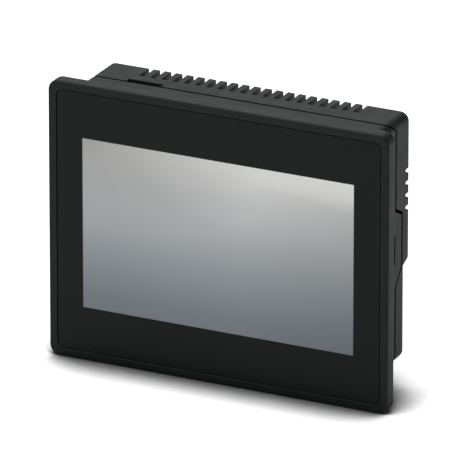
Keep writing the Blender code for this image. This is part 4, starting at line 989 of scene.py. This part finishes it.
def makeWindowPane():
    (left, top), (width, height) = windowBox()
    seam = laminate["seam"]
    middle = (left + width / 2, top - height / 2)
    outline = roundedOutline(width - 2 * seam, height - 2 * seam, 0.28 * mm, middle)
    front = laminate["setback"] + laminate["paneDrop"]
    body = ringLoft("windowPane", [(front, outline), (laminate["rear"], outline)])
    materials["displayPaintedReflection"] = displayFinish(windowBox(), displayLook)
    return dress(body, "displayPaintedReflection", "housing", "display_grey", "touch_film")


makeBezelFrame()
makeGasketRing()
makeFrontFilm()
makeWindowPane()
print("front frame, seal and laminate made")


# rear shell

rear = {
    "thinRelief": 5.8 * mm,
    "thickLow": -7.5 * mm,
    "stepRise": 2.5 * mm,
    "footDepth": 3.7 * mm,
    "footHeight": 3.3 * mm,
    "bossRadius": 4.4 * mm,
    "holeRadius": 1.75 * mm,
    "seatRadius": 3.1 * mm,
    "seatDepth": 3.2 * mm,
    "labelGap": 0.3 * mm,
    "labelDepth": 0.5 * mm,
    "toothRound": 0.45 * mm,
    "bumpRound": 0.6 * mm,
}

vents = {
    "topCount": 20,
    "topPitch": 6.2 * mm,
    "topWidth": 2.5 * mm,
    "topLength": 11.2 * mm,
    "topDrop": 12.0 * mm,
    "sideCount": 4,
    "sidePitch": 6.5 * mm,
    "sideTop": 38.7 * mm,
    "sideWidth": 2.2 * mm,
    "sideReach": 3.2 * mm,
    "sideLength": 14.0 * mm,
}

connectorGap = 0.4 * mm
connectorNodes = ["power_header", "ethernet_shell", "usb_shell", "serial_shell"]
thinBack = totalDepth - rear["thinRelief"]


def backProfile(inset):
    # the back from bottom to top as depth and Z: foot chamfer, thin part, step, thick part
    lift = inset / 2
    foot = thinBack - rear["footDepth"] - inset
    return [
        (foot, houseBottom - housing["lap"]),
        (foot, houseBottom),
        (thinBack - inset, houseBottom + rear["footHeight"] + lift),
        (thinBack - inset, rear["thickLow"] - rear["stepRise"] + lift),
        (totalDepth - inset, rear["thickLow"] + lift),
        (totalDepth - inset, houseTop + housing["lap"]),
    ]


def backAt(z):
    return totalDepth if z > rear["thickLow"] else thinBack


def shellBlock(name):
    lap = housing["lap"]
    ends = (parting["bottom"] - lap, totalDepth + lap)
    body = ringLoft(name, [(depth, housingOutline(0.0)) for depth in ends])
    region = backProfile(0.0) + list(reversed(partingLine(1)))
    combine(body, profileBar("region", region, -bezelWidth, bezelWidth), "INTERSECT")
    return body


def shellCavity():
    wall, lap = housing["wall"], housing["lap"]
    body = ringLoft("cavity", [(0.0, housingOutline(wall)), (totalDepth, housingOutline(wall))])
    region = backProfile(wall) + [(0.0, houseTop + lap), (0.0, houseBottom - lap)]
    combine(body, profileBar("region", region, -bezelWidth, bezelWidth), "INTERSECT")
    return body


def topVents():
    corners = []
    for index in range(vents["topCount"]):
        x = (index - (vents["topCount"] - 1) / 2) * vents["topPitch"]
        low = (x - vents["topWidth"] / 2, totalDepth - vents["topLength"], houseTop - vents["topDrop"])
        high = (x + vents["topWidth"] / 2, totalDepth + housing["lap"], houseTop + housing["lap"])
        corners.append((low, high))
    return boxes("topVents", corners)


def sideVents():
    corners = []
    for index in range(vents["sideCount"]):
        z = vents["sideTop"] - index * vents["sidePitch"]
        for side in (-1, 1):
            reach = (houseWidth / 2 - vents["sideLength"], houseWidth / 2 + housing["lap"])
            ends = sorted(side * edge for edge in reach)
            low = (ends[0], totalDepth - vents["sideReach"], z - vents["sideWidth"] / 2)
            high = (ends[1], totalDepth + housing["lap"], z + vents["sideWidth"] / 2)
            corners.append((low, high))
    return boxes("sideVents", corners)


def connectorNotches():
    corners = []
    for node in connectorNodes:
        low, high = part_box(node)
        notchLow = (low[0] - connectorGap, parting["bottom"] - housing["lap"], houseBottom - housing["lap"])
        top = houseBottom + rear["footHeight"] + housing["wall"]
        corners.append((notchLow, (high[0] + connectorGap, high[1] - frontY + connectorGap, top)))
    return boxes("notches", corners)


def makeRearShell():
    body = shellBlock("rearShell")
    cut(body, shellCavity())
    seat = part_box("main_board")[1][1] - frontY + bezel["fit"]
    for x, z in screwPlaces("case_screw"):
        length = backAt(z) - housing["wall"] / 2 - seat
        tube = rod("boss", rear["bossRadius"], (x, seat, z), backwards, length, 40)
        combine(tube, shellBlock("limit"), "INTERSECT")
        add(body, tube)
    for x, z in screwPlaces("case_screw"):
        start = seat - housing["lap"]
        length = totalDepth - start + housing["lap"]
        cut(body, rod("hole", rear["holeRadius"], (x, start, z), backwards, length))
        sunk = (x, backAt(z) - rear["seatDepth"], z)
        cut(body, rod("seat", rear["seatRadius"], sunk, backwards, rear["seatDepth"] + housing["lap"], 40))
    cut(body, topVents(), sideVents(), connectorNotches(), topClampSlot())
    low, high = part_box("rating_label")
    grow = rear["labelGap"]
    recessLow = (low[0] - grow, thinBack - rear["labelDepth"], low[2] - grow)
    recessHigh = (high[0] + grow, thinBack + housing["lap"], high[2] + grow)
    cut(body, boxes("labelRecess", [(recessLow, recessHigh)]))

    def onTooth(edge):
        first, second = (vertex.co for vertex in edge.verts)
        along = (second - first).normalized()
        middle = (first + second) / 2
        atBack = totalDepth - (middle.y - frontY) < nearSkin
        upright = abs(along.z) > 0.99 and middle.z > houseTop - vents["topDrop"] - nearSkin
        between = abs(middle.x) < vents["topCount"] * vents["topPitch"] / 2
        return atBack and upright and between

    def onBump(edge):
        first, second = (vertex.co for vertex in edge.verts)
        level = abs((second - first).normalized().z) < 0.01
        lowest = vents["sideTop"] - (vents["sideCount"] - 0.5) * vents["sidePitch"]
        beside = lowest < first.z < vents["sideTop"] + vents["sidePitch"] / 2
        outer = abs(first.x) > houseWidth / 2 - nearSkin and abs(second.x) > houseWidth / 2 - nearSkin
        return level and beside and outer and totalDepth - (first.y - frontY) < vents["sideReach"] + nearSkin

    soften(body, rear["toothRound"], 3, 60.0, onTooth)
    soften(body, rear["bumpRound"], 3, 60.0, onBump)

    def onShellSkin(edge):
        for vertex in edge.verts:
            behind = backAt(vertex.co.z) - (vertex.co.y - frontY)
            stepLow, stepHigh = rear["thickLow"] - rear["stepRise"], rear["thickLow"]
            sloped = stepLow - nearSkin < vertex.co.z < stepHigh + nearSkin
            onStep = sloped and behind < rear["thinRelief"] + nearSkin
            if underSkin(vertex.co) > nearSkin and behind > nearSkin and not onStep:
                return False
        return True

    soften(body, housing["edgeRound"], 2, 32.0, onShellSkin)
    return dress(body, "mouldedBlack", "housing", "black_plastic", "rear_cover")


makeRearShell()
print("rear shell made")


# screws

screwLook = {
    "pitch": 0.9 * mm,
    "threadDepth": 0.16 * mm,
    "tip": 0.5 * mm,
    "caseHead": 2.2 * mm,  # head heights
    "terminalHead": 1.6 * mm,
    "chamfer": 0.25 * mm,
    "crossReach": 1.5 * mm,
    "crossWidth": 0.75 * mm,
    "crossDepth": 1.2 * mm,
    "slotWidth": 0.6 * mm,
    "slotDepth": 0.7 * mm,
}


def threadedShaft(radius, length):
    # radius and height points from the tip to the head
    pitch, depth, tip = screwLook["pitch"], screwLook["threadDepth"], screwLook["tip"]
    points = [(radius - 2 * depth, 0.0), (radius - depth, tip)]
    height = tip
    while height + pitch < length - tip:
        points += [(radius, height + pitch * share) for share in (0.4, 0.55)]
        height += pitch
        points.append((radius - depth, height))
    points.append((radius - depth, length))
    return points


def domedHead(radius, start, height, share, steps=6):
    # a straight rim for a share of the height, then a dome
    rim = start + height * share
    crown = start + height
    points = [(radius * 0.96, start), (radius, start + 0.04 * radius), (radius, rim)]
    for step in range(1, steps):
        angle = math.radians(90.0 * step / steps)
        points.append((radius * math.cos(angle), rim + (crown - rim) * math.sin(angle)))
    points.append((0.0, crown))
    return points


def localBox(node):
    # a node's box with depths in place of Y
    low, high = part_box(node)
    return (low[0], low[1] - frontY, low[2]), (high[0], high[1] - frontY, high[2])


def nodePlace(node):
    # middle X and Z, first and last depth, and half width
    low, high = localBox(node)
    return (low[0] + high[0]) / 2, (low[2] + high[2]) / 2, low[1], high[1], (high[0] - low[0]) / 2


def makeCaseScrew(number):
    node = f"case_screw_{number}"
    x, z, tip, crown, radius = nodePlace(node)
    neck = crown - tip - screwLook["caseHead"]
    profile = threadedShaft(rear["holeRadius"] - bezel["fit"], neck)
    profile += domedHead(radius, neck, screwLook["caseHead"], 0.35)
    body = turned(f"caseScrew{number}", profile, (x, tip, z), backwards, 40)
    reach, half = screwLook["crossReach"], screwLook["crossWidth"] / 2
    floor = crown - screwLook["crossDepth"]
    for arms in ((reach, half), (half, reach)):
        cut(body, notch(x, z, arms, floor, crown + mm))
    return dress(body, "zincPlate", "housing", "zinc_screw", node)


def makeTerminalScrew(number):
    node = f"terminal_screw_{number}"
    x, z, tip, crown, radius = nodePlace(node)
    head = screwLook["terminalHead"]
    neck = crown - tip - head
    profile = threadedShaft(radius * 0.6, neck)
    chamfer = screwLook["chamfer"]
    profile += [(radius * 0.95, neck), (radius, neck + 0.1 * mm), (radius, neck + head - chamfer)]
    profile.append((radius - chamfer, neck + head))
    body = turned(f"terminalScrew{number}", profile, (x, tip, z), backwards, 32)
    reach = (2 * radius, screwLook["slotWidth"] / 2)
    cut(body, notch(x, z, reach, crown - screwLook["slotDepth"], crown + mm))
    return dress(body, "zincPlate", f"clamp_screw_{number}", "zinc_screw", node)


for number in range(1, 5):
    makeCaseScrew(number)
for number in range(1, 4):
    makeTerminalScrew(number)
print("screws made")


# power connector

power = {
    "fit": 0.3 * mm,
    "wall": 0.8 * mm,
    "ceiling": 3.6 * mm,
    "pinSize": 1.0 * mm,
    "pinLength": 7.0 * mm,
    "pinRound": 0.18 * mm,
    "edgeRound": 0.25 * mm,
    "bodyRound": 0.35 * mm,
    "noseInset": 0.05 * mm,
    "accessChamfer": 0.3 * mm,
    "shoulder": 0.3 * mm,  # from the socket's mouth down to the plug's body
    "cageTravel": 2.4 * mm,
    "cagePlate": 1.0 * mm,
    "funnelRadius": 2.05 * mm,
    "funnelFlare": 0.2 * mm,
    "wireRadius": 1.6 * mm,
    "funnelDepth": 0.9 * mm,
    "grooveWidth": 0.5 * mm,
    "grooveDepth": 0.35 * mm,
    "ribCount": 5,
}


def polePlaces():
    return [nodePlace(f"plug_contact_{number}")[0] for number in range(1, 4)]


def makePowerHeader():
    low, high = localBox("power_header")
    wall, lap = power["wall"], housing["lap"]
    body = softBox("powerHeader", low, high, power["edgeRound"])
    ceiling = high[2] - power["ceiling"]
    innerLow = (low[0] + wall, low[1] + 2 * wall, low[2] - lap)
    cut(body, softBox("cavity", innerLow, (high[0] - wall, high[1] - 2 * wall, ceiling)))
    keys = []
    for x in polePlaces():
        half = power["grooveWidth"]
        keyLow = (x - half, high[1] - 2.5 * wall, low[2] - lap)
        keys.append((keyLow, (x + half, high[1] + lap, low[2] + 4 * wall)))
    cut(body, boxes("keyWays", keys))
    dress(body, "terminalGreen", "housing", "green_plastic", "power_header")
    middle, half = (low[1] + high[1]) / 2, power["pinSize"] / 2
    corners = []
    for x in polePlaces():
        pinLow = (x - half, middle - half, ceiling - power["pinLength"])
        corners.append((pinLow, (x + half, middle + half, ceiling + wall)))
    pins = boxes("headerPins", corners)
    soften(pins, power["pinRound"], 3)
    return dress(pins, "tinnedBrass", "housing", "tinned_brass")


def makePowerPlug():
    low, high = localBox("power_plug")
    fit, lap, wall = power["fit"], housing["lap"], power["wall"]
    headLow, headHigh = localBox("power_header")
    shoulder = headLow[2] - power["shoulder"]
    body = softBox("plugBody", low, (high[0], high[1], shoulder), power["bodyRound"], 3)
    inset = power["noseInset"]
    noseLow = (low[0] + inset, headLow[1] + 2 * wall + fit, shoulder - lap)
    noseHigh = (high[0] - inset, headHigh[1] - 2 * wall - fit, high[2])
    add(body, softBox("nose", noseLow, noseHigh, power["edgeRound"]))
    cageLow, cageHigh = localBox("terminal_cage_1")
    contactLow, contactHigh = localBox("plug_contact_1")
    cageHalf = (cageHigh[0] - cageLow[0]) / 2 + fit
    slotHalf = (contactHigh[0] - contactLow[0]) / 2 + fit
    chamberRear = cageHigh[1] + power["cageTravel"] + fit
    pinRear = (headLow[1] + headHigh[1]) / 2 + power["pinSize"] / 2 + fit
    chamberTop = cageHigh[2] + fit
    chambers, pinWays = [], []
    for x in polePlaces():
        chamberLow = (x - cageHalf, cageLow[1] - fit, cageLow[2] - fit)
        chambers.append((chamberLow, (x + cageHalf, chamberRear, chamberTop)))
        wayLow = (x - slotHalf, contactLow[1] - fit, chamberTop - lap)
        pinWays.append((wayLow, (x + slotHalf, pinRear, high[2] + lap)))
    cut(body, boxes("chambers", chambers), boxes("pinWays", pinWays))
    wireDepth = cageLow[1] + power["cagePlate"] + power["cageTravel"] / 2
    screwZ = (cageLow[2] + cageHigh[2]) / 2
    wireReach = cageLow[2] - low[2] + lap
    for number, x in enumerate(polePlaces(), 1):
        flare = power["funnelFlare"]
        funnel = [(power["funnelRadius"] + flare, -flare), (power["wireRadius"], power["funnelDepth"])]
        funnel.append((power["wireRadius"], wireReach))
        cut(body, turned("funnel", funnel, (x, wireDepth, low[2]), upwards, 32))
        headRadius = nodePlace(f"terminal_screw_{number}")[4] + fit
        length = high[1] - chamberRear
        chamfer = power["accessChamfer"]
        access = [(headRadius, -lap), (headRadius, length - chamfer)]
        access.append((headRadius + 2 * chamfer, length + chamfer))
        cut(body, turned("access", access, (x, chamberRear, screwZ), backwards, 32))
    grooves = []
    half, depth = power["grooveWidth"] / 2, power["grooveDepth"]
    places = polePlaces()
    for first, second in zip(places, places[1:]):
        x = (first + second) / 2
        for start, end in ((low[1] - lap, low[1] + depth), (high[1] - depth, high[1] + lap)):
            grooves.append(((x - half, start, low[2] - lap), (x + half, end, shoulder + lap)))
    ribs = power["ribCount"]
    for index in range(ribs):
        ribDepth = low[1] + (high[1] - low[1]) * (index + 1.5) / (ribs + 2)
        for edge, outer in ((low[0], low[0] - lap), (high[0], high[0] + lap)):
            ends = sorted((outer, edge + math.copysign(depth, edge - outer)))
            near = (ends[0], ribDepth - half, low[2] + wall)
            grooves.append((near, (ends[1], ribDepth + half, shoulder - 2 * wall)))
    cut(body, boxes("grooves", grooves))
    return dress(body, "terminalGreen", "wire_plug", "green_plastic", "power_plug")


makePowerHeader()
makePowerPlug()
print("power connector made")


# data sockets

sockets = {
    "sheet": 0.4 * mm,
    "portSize": (11.8 * mm, 8.0 * mm, 13.0 * mm),
    "portSeat": 1.2 * mm,
    "latchSteps": [(3.0 * mm, 1.6 * mm), (2.0 * mm, 2.6 * mm)],  # half width and depth
    "latchLength": 7.8 * mm,
    "contactPitch": 1.02 * mm,
    "contactWidth": 0.42 * mm,
    "contactCount": 8,
    "contactSeat": 0.05 * mm,
    "springSize": (1.6 * mm, 5.0 * mm),
    "tongueBase": 4.0 * mm,
    "bladeHalfWidth": 5.5 * mm,
    "bladeSpan": (2.1 * mm, 0.3 * mm),  # from the tongue's rear side
    "bladeContacts": [-3.5 * mm, -1.0 * mm, 1.0 * mm, 3.5 * mm],
    "bladeContactWidth": 1.0 * mm,
    "mouth": (16.9 * mm, 8.3 * mm, 5.8 * mm),
    "mouthTaper": 0.8 * mm,
    "mouthRound": 1.3 * mm,
    "flangeHeight": 0.8 * mm,
    "flangeCorner": 1.2 * mm,
    "flangeRound": 0.12 * mm,
    "faceSetback": 0.6 * mm,
    "holePitch": 2.77 * mm,
    "rowGap": 2.84 * mm,
    "holeRadius": 0.55 * mm,
    "holeDepth": 2.0 * mm,
    "jackHole": 1.9 * mm,
    "jackHead": 5.0 * mm,
    "jackChamfer": 0.35 * mm,
    "jackShaft": 1.4 * mm,
    "jackBore": 1.3 * mm,
}


def makeSheetShell(name, node, spread):
    # a folded metal shell, open at its mouth, with a spring tongue at each place of spread
    low, high = localBox(node)
    sheet, lap = sockets["sheet"], housing["lap"]
    body = softBox(name, low, high, 0.3 * mm, 3)
    innerLow = (low[0] + sheet, low[1] + sheet, low[2] - lap)
    cut(body, softBox("inside", innerLow, tuple(edge - sheet for edge in high), 0.2 * mm))
    wide, tall = sockets["springSize"]
    windows, springs = [], []
    for offset in spread:
        x = (low[0] + high[0]) / 2 + offset
        bottom = low[2] + 2 * wide
        windowLow = (x - wide / 2, high[1] - 2 * sheet, bottom)
        windows.append((windowLow, (x + wide / 2, high[1] + lap, bottom + tall)))
        springs.append((x - wide / 2 + sheet / 2, x + wide / 2 - sheet / 2))
    cut(body, boxes("windows", windows))
    top = low[2] + 2 * wide + tall + sheet / 2
    face = high[1] - sheet
    bend, tip = top - tall * 0.7, top - tall * 0.95
    bent = [(face, top), (face - sheet, bend), (face, tip)]
    bent += [(face + sheet / 2, top - tall * 0.9), (face - sheet / 2, bend), (face + sheet / 2, top)]
    dress(profileBars(name + "Springs", bent, springs), "rolledSteel", "housing", "bright_steel")
    return dress(body, "rolledSteel", "housing", "bright_steel", node)


def makeNetworkSocket():
    makeSheetShell("networkShell", "ethernet_shell", (-4.5 * mm, 4.5 * mm))
    low, high = localBox("ethernet_insert")
    width, height, length = sockets["portSize"]
    lap = housing["lap"]
    x, front = (low[0] + high[0]) / 2, low[1] + sockets["portSeat"]
    body = softBox("networkInsert", low, high, 0.2 * mm)
    port = ((x - width / 2, front, low[2] - lap), (x + width / 2, front + height, low[2] + length))
    cut(body, softBox("port", *port, 0.25 * mm))
    for half, depth in sockets["latchSteps"]:
        latchLow = (x - half, front + height - lap, low[2] - lap)
        latchHigh = (x + half, front + height + depth, low[2] + sockets["latchLength"])
        cut(body, boxes("latchWay", [(latchLow, latchHigh)]))
    dress(body, "insulatorBlack", "housing", "chip_black", "ethernet_insert")
    # each contact slants from the port's wall inwards and is bent over at its end
    base, mouth, deep = front + sockets["contactSeat"], low[2], low[2] + length
    wire = [(base, mouth + 1.6 * mm), (base + 2.4 * mm, deep - 4.0 * mm), (base + 2.6 * mm, deep - 3.6 * mm)]
    wire += [(base + 2.3 * mm, deep - 3.4 * mm), (base, mouth + 2.4 * mm)]
    spans = []
    for index in range(sockets["contactCount"]):
        centre = x + (index - (sockets["contactCount"] - 1) / 2) * sockets["contactPitch"]
        spans.append((centre - sockets["contactWidth"] / 2, centre + sockets["contactWidth"] / 2))
    return dress(profileBars("networkContacts", wire, spans), "goldPlate", "housing", "tinned_brass")


def makeServiceSocket():
    makeSheetShell("serviceShell", "usb_shell", (-3.0 * mm, 3.0 * mm))
    low, high = localBox("usb_tongue")
    seat = high[2] - sockets["tongueBase"]
    base = softBox("serviceTongue", (low[0], low[1], seat), high, 0.15 * mm)
    x, wide = (low[0] + high[0]) / 2, sockets["bladeHalfWidth"]
    bladeLow = (x - wide, high[1] - sockets["bladeSpan"][0], low[2])
    bladeHigh = (x + wide, high[1] - sockets["bladeSpan"][1], seat + mm)
    add(base, softBox("blade", bladeLow, bladeHigh, 0.3 * mm, 3))
    dress(base, "ivoryPlastic", "housing", "white_plastic", "usb_tongue")
    half, face = sockets["bladeContactWidth"] / 2, bladeLow[1]
    proud, sunk = face - 0.06 * mm, face + 0.1 * mm
    near, far = low[2] + 1.2 * mm, seat - 0.2 * mm
    strip = [(proud, near), (proud, far), (sunk, far), (sunk, near - 0.3 * mm)]
    spans = [(x + offset - half, x + offset + half) for offset in sockets["bladeContacts"]]
    return dress(profileBars("serviceContacts", strip, spans), "goldPlate", "housing", "tinned_brass")


def serialOutline(x, middle, inset):
    width, height, _ = sockets["mouth"]
    half, rise, taper = width / 2 - inset, height / 2 - inset, sockets["mouthTaper"]
    points = [(x - half + taper, middle - rise), (x + half - taper, middle - rise)]
    points += [(x + half, middle + rise), (x - half, middle + rise)]
    return roundCorners(points, sockets["mouthRound"] - inset / 2)


def jackPlaces():
    return [nodePlace(f"jack_screw_{number}")[0] for number in (1, 2)]


def makeSerialSocket():
    low, high = localBox("serial_shell")
    sheet, lap, fit = sockets["sheet"], housing["lap"], power["fit"]
    x, middle = (low[0] + high[0]) / 2, (low[1] + high[1]) / 2
    flangeLow = high[2] - sockets["flangeHeight"]
    rim = [(low[0], low[1]), (high[0], low[1]), (high[0], high[1]), (low[0], high[1])]
    shell = upright("serialShell", roundCorners(rim, sockets["flangeCorner"]), flangeLow, high[2])
    soften(shell, sockets["flangeRound"])
    add(shell, upright("mouth", serialOutline(x, middle, 0.0), low[2], flangeLow + lap / 2))
    cut(shell, upright("inside", serialOutline(x, middle, sheet), low[2] - lap, high[2] + lap))
    for place in jackPlaces():
        cut(shell, rod("hole", sockets["jackHole"], (place, middle, flangeLow - lap), upwards, 3 * lap))
    dress(shell, "rolledSteel", "housing", "bright_steel", "serial_shell")
    blockLow, blockHigh = localBox("serial_insulator")
    seat = high[2] + fit
    body = softBox("serialInsulator", (blockLow[0], blockLow[1], seat), blockHigh, 0.2 * mm)
    face = low[2] + sockets["faceSetback"]
    add(body, upright("face", serialOutline(x, middle, sheet + fit), face, seat + lap))
    for place in jackPlaces():
        cut(body, rod("hole", sockets["jackHole"], (place, middle, seat - lap), upwards, 8 * lap))
    pitch, radius = sockets["holePitch"], sockets["holeRadius"]
    discs = []
    for count, side in ((5, 1), (4, -1)):
        for index in range(count):
            place = (x + (index - (count - 1) / 2) * pitch, middle + side * sockets["rowGap"] / 2, face)
            hole = [(radius + 0.35 * mm, -0.15 * mm), (radius, 0.2 * mm), (radius, sockets["holeDepth"])]
            cut(body, turned("hole", hole, place, upwards, 20))
            discs.append(place)
    dress(body, "insulatorBlack", "housing", "chip_black", "serial_insulator")
    shape = bmesh.new()
    narrow, wide = radius * 0.7, radius * 0.95
    for placeX, depth, z in discs:
        spot = Matrix.Translation((placeX, frontY + depth, z + mm))
        bmesh.ops.create_cone(
            shape, cap_ends=True, segments=20, radius1=narrow, radius2=wide, depth=0.6 * mm, matrix=spot,
        )
    return dress(toObject("serialContacts", shape), "goldPlate", "housing", "tinned_brass")


def makeJackScrew(number):
    node = f"jack_screw_{number}"
    low, high = localBox(node)
    x, middle, radius = (low[0] + high[0]) / 2, (low[1] + high[1]) / 2, (high[0] - low[0]) / 2
    head, chamfer = sockets["jackHead"], sockets["jackChamfer"]
    foot = (x, middle, low[2])
    profile = [(radius - chamfer, 0.0), (radius, chamfer)]
    profile += [(radius, head - chamfer), (radius - chamfer, head)]
    body = turned(f"jackScrew{number}", profile, foot, upwards, 6)
    shaft = threadedShaft(sockets["jackShaft"], high[2] - low[2] - head + mm)
    add(body, turned("shaft", shaft, (x, middle, high[2]), (0, 0, -1), 24))
    bore = sockets["jackBore"]
    groove = screwLook["threadDepth"]
    walls = [(bore + 0.3 * mm, -0.1 * mm), (bore, 0.3 * mm)]
    for step in range(5):
        height = (0.5 + 0.7 * step) * mm
        walls += [(bore - groove, height), (bore, height + 0.35 * mm)]
    cut(body, turned("bore", walls, foot, upwards, 24))
    return dress(body, "zincPlate", "housing", "zinc_screw", node)


makeNetworkSocket()
makeServiceSocket()
makeSerialSocket()
makeJackScrew(1)
makeJackScrew(2)
print("data sockets made")


# CAD nodes that keep their shape

nodeFinish = {
    "touch_spacer": "spacerWhite", "touch_glass": "touchGlass", "touch_tail": "amberFilm",
    "display_foam": "greyFoam", "lcd_frame": "rolledSteel", "lcd_glass": "cellGlass",
    "light_guide": "lightGuide", "led_strip": "ivoryPlastic", "lcd_back_tray": "rolledSteel",
    "lcd_tail": "amberFilm", "chassis_plate": "rolledSteel", "main_board": "solderMask",
    "processor": "chipResin", "thermal_pad": "thermalGrey", "heat_sink": "anodisedBlack",
    "memory_chip_1": "chipResin", "memory_chip_2": "chipResin", "power_inductor": "ferriteGrey",
    "input_fuse": "ivoryPlastic", "capacitor_1": "drawnAluminium", "capacitor_2": "drawnAluminium",
    "battery_holder": "insulatorBlack", "backup_battery": "rolledSteel", "rating_label": "blankLabel",
}
for number in range(1, 5):
    nodeFinish[f"chassis_screw_{number}"] = "zincPlate"
for number in range(1, 4):
    nodeFinish[f"plug_contact_{number}"] = "tinnedBrass"
    nodeFinish[f"terminal_cage_{number}"] = "tinnedBrass"


for name, finish in nodeFinish.items():
    for slot in nodes[name].material_slots:
        slot.material = materials[finish]
print("inner parts finished")
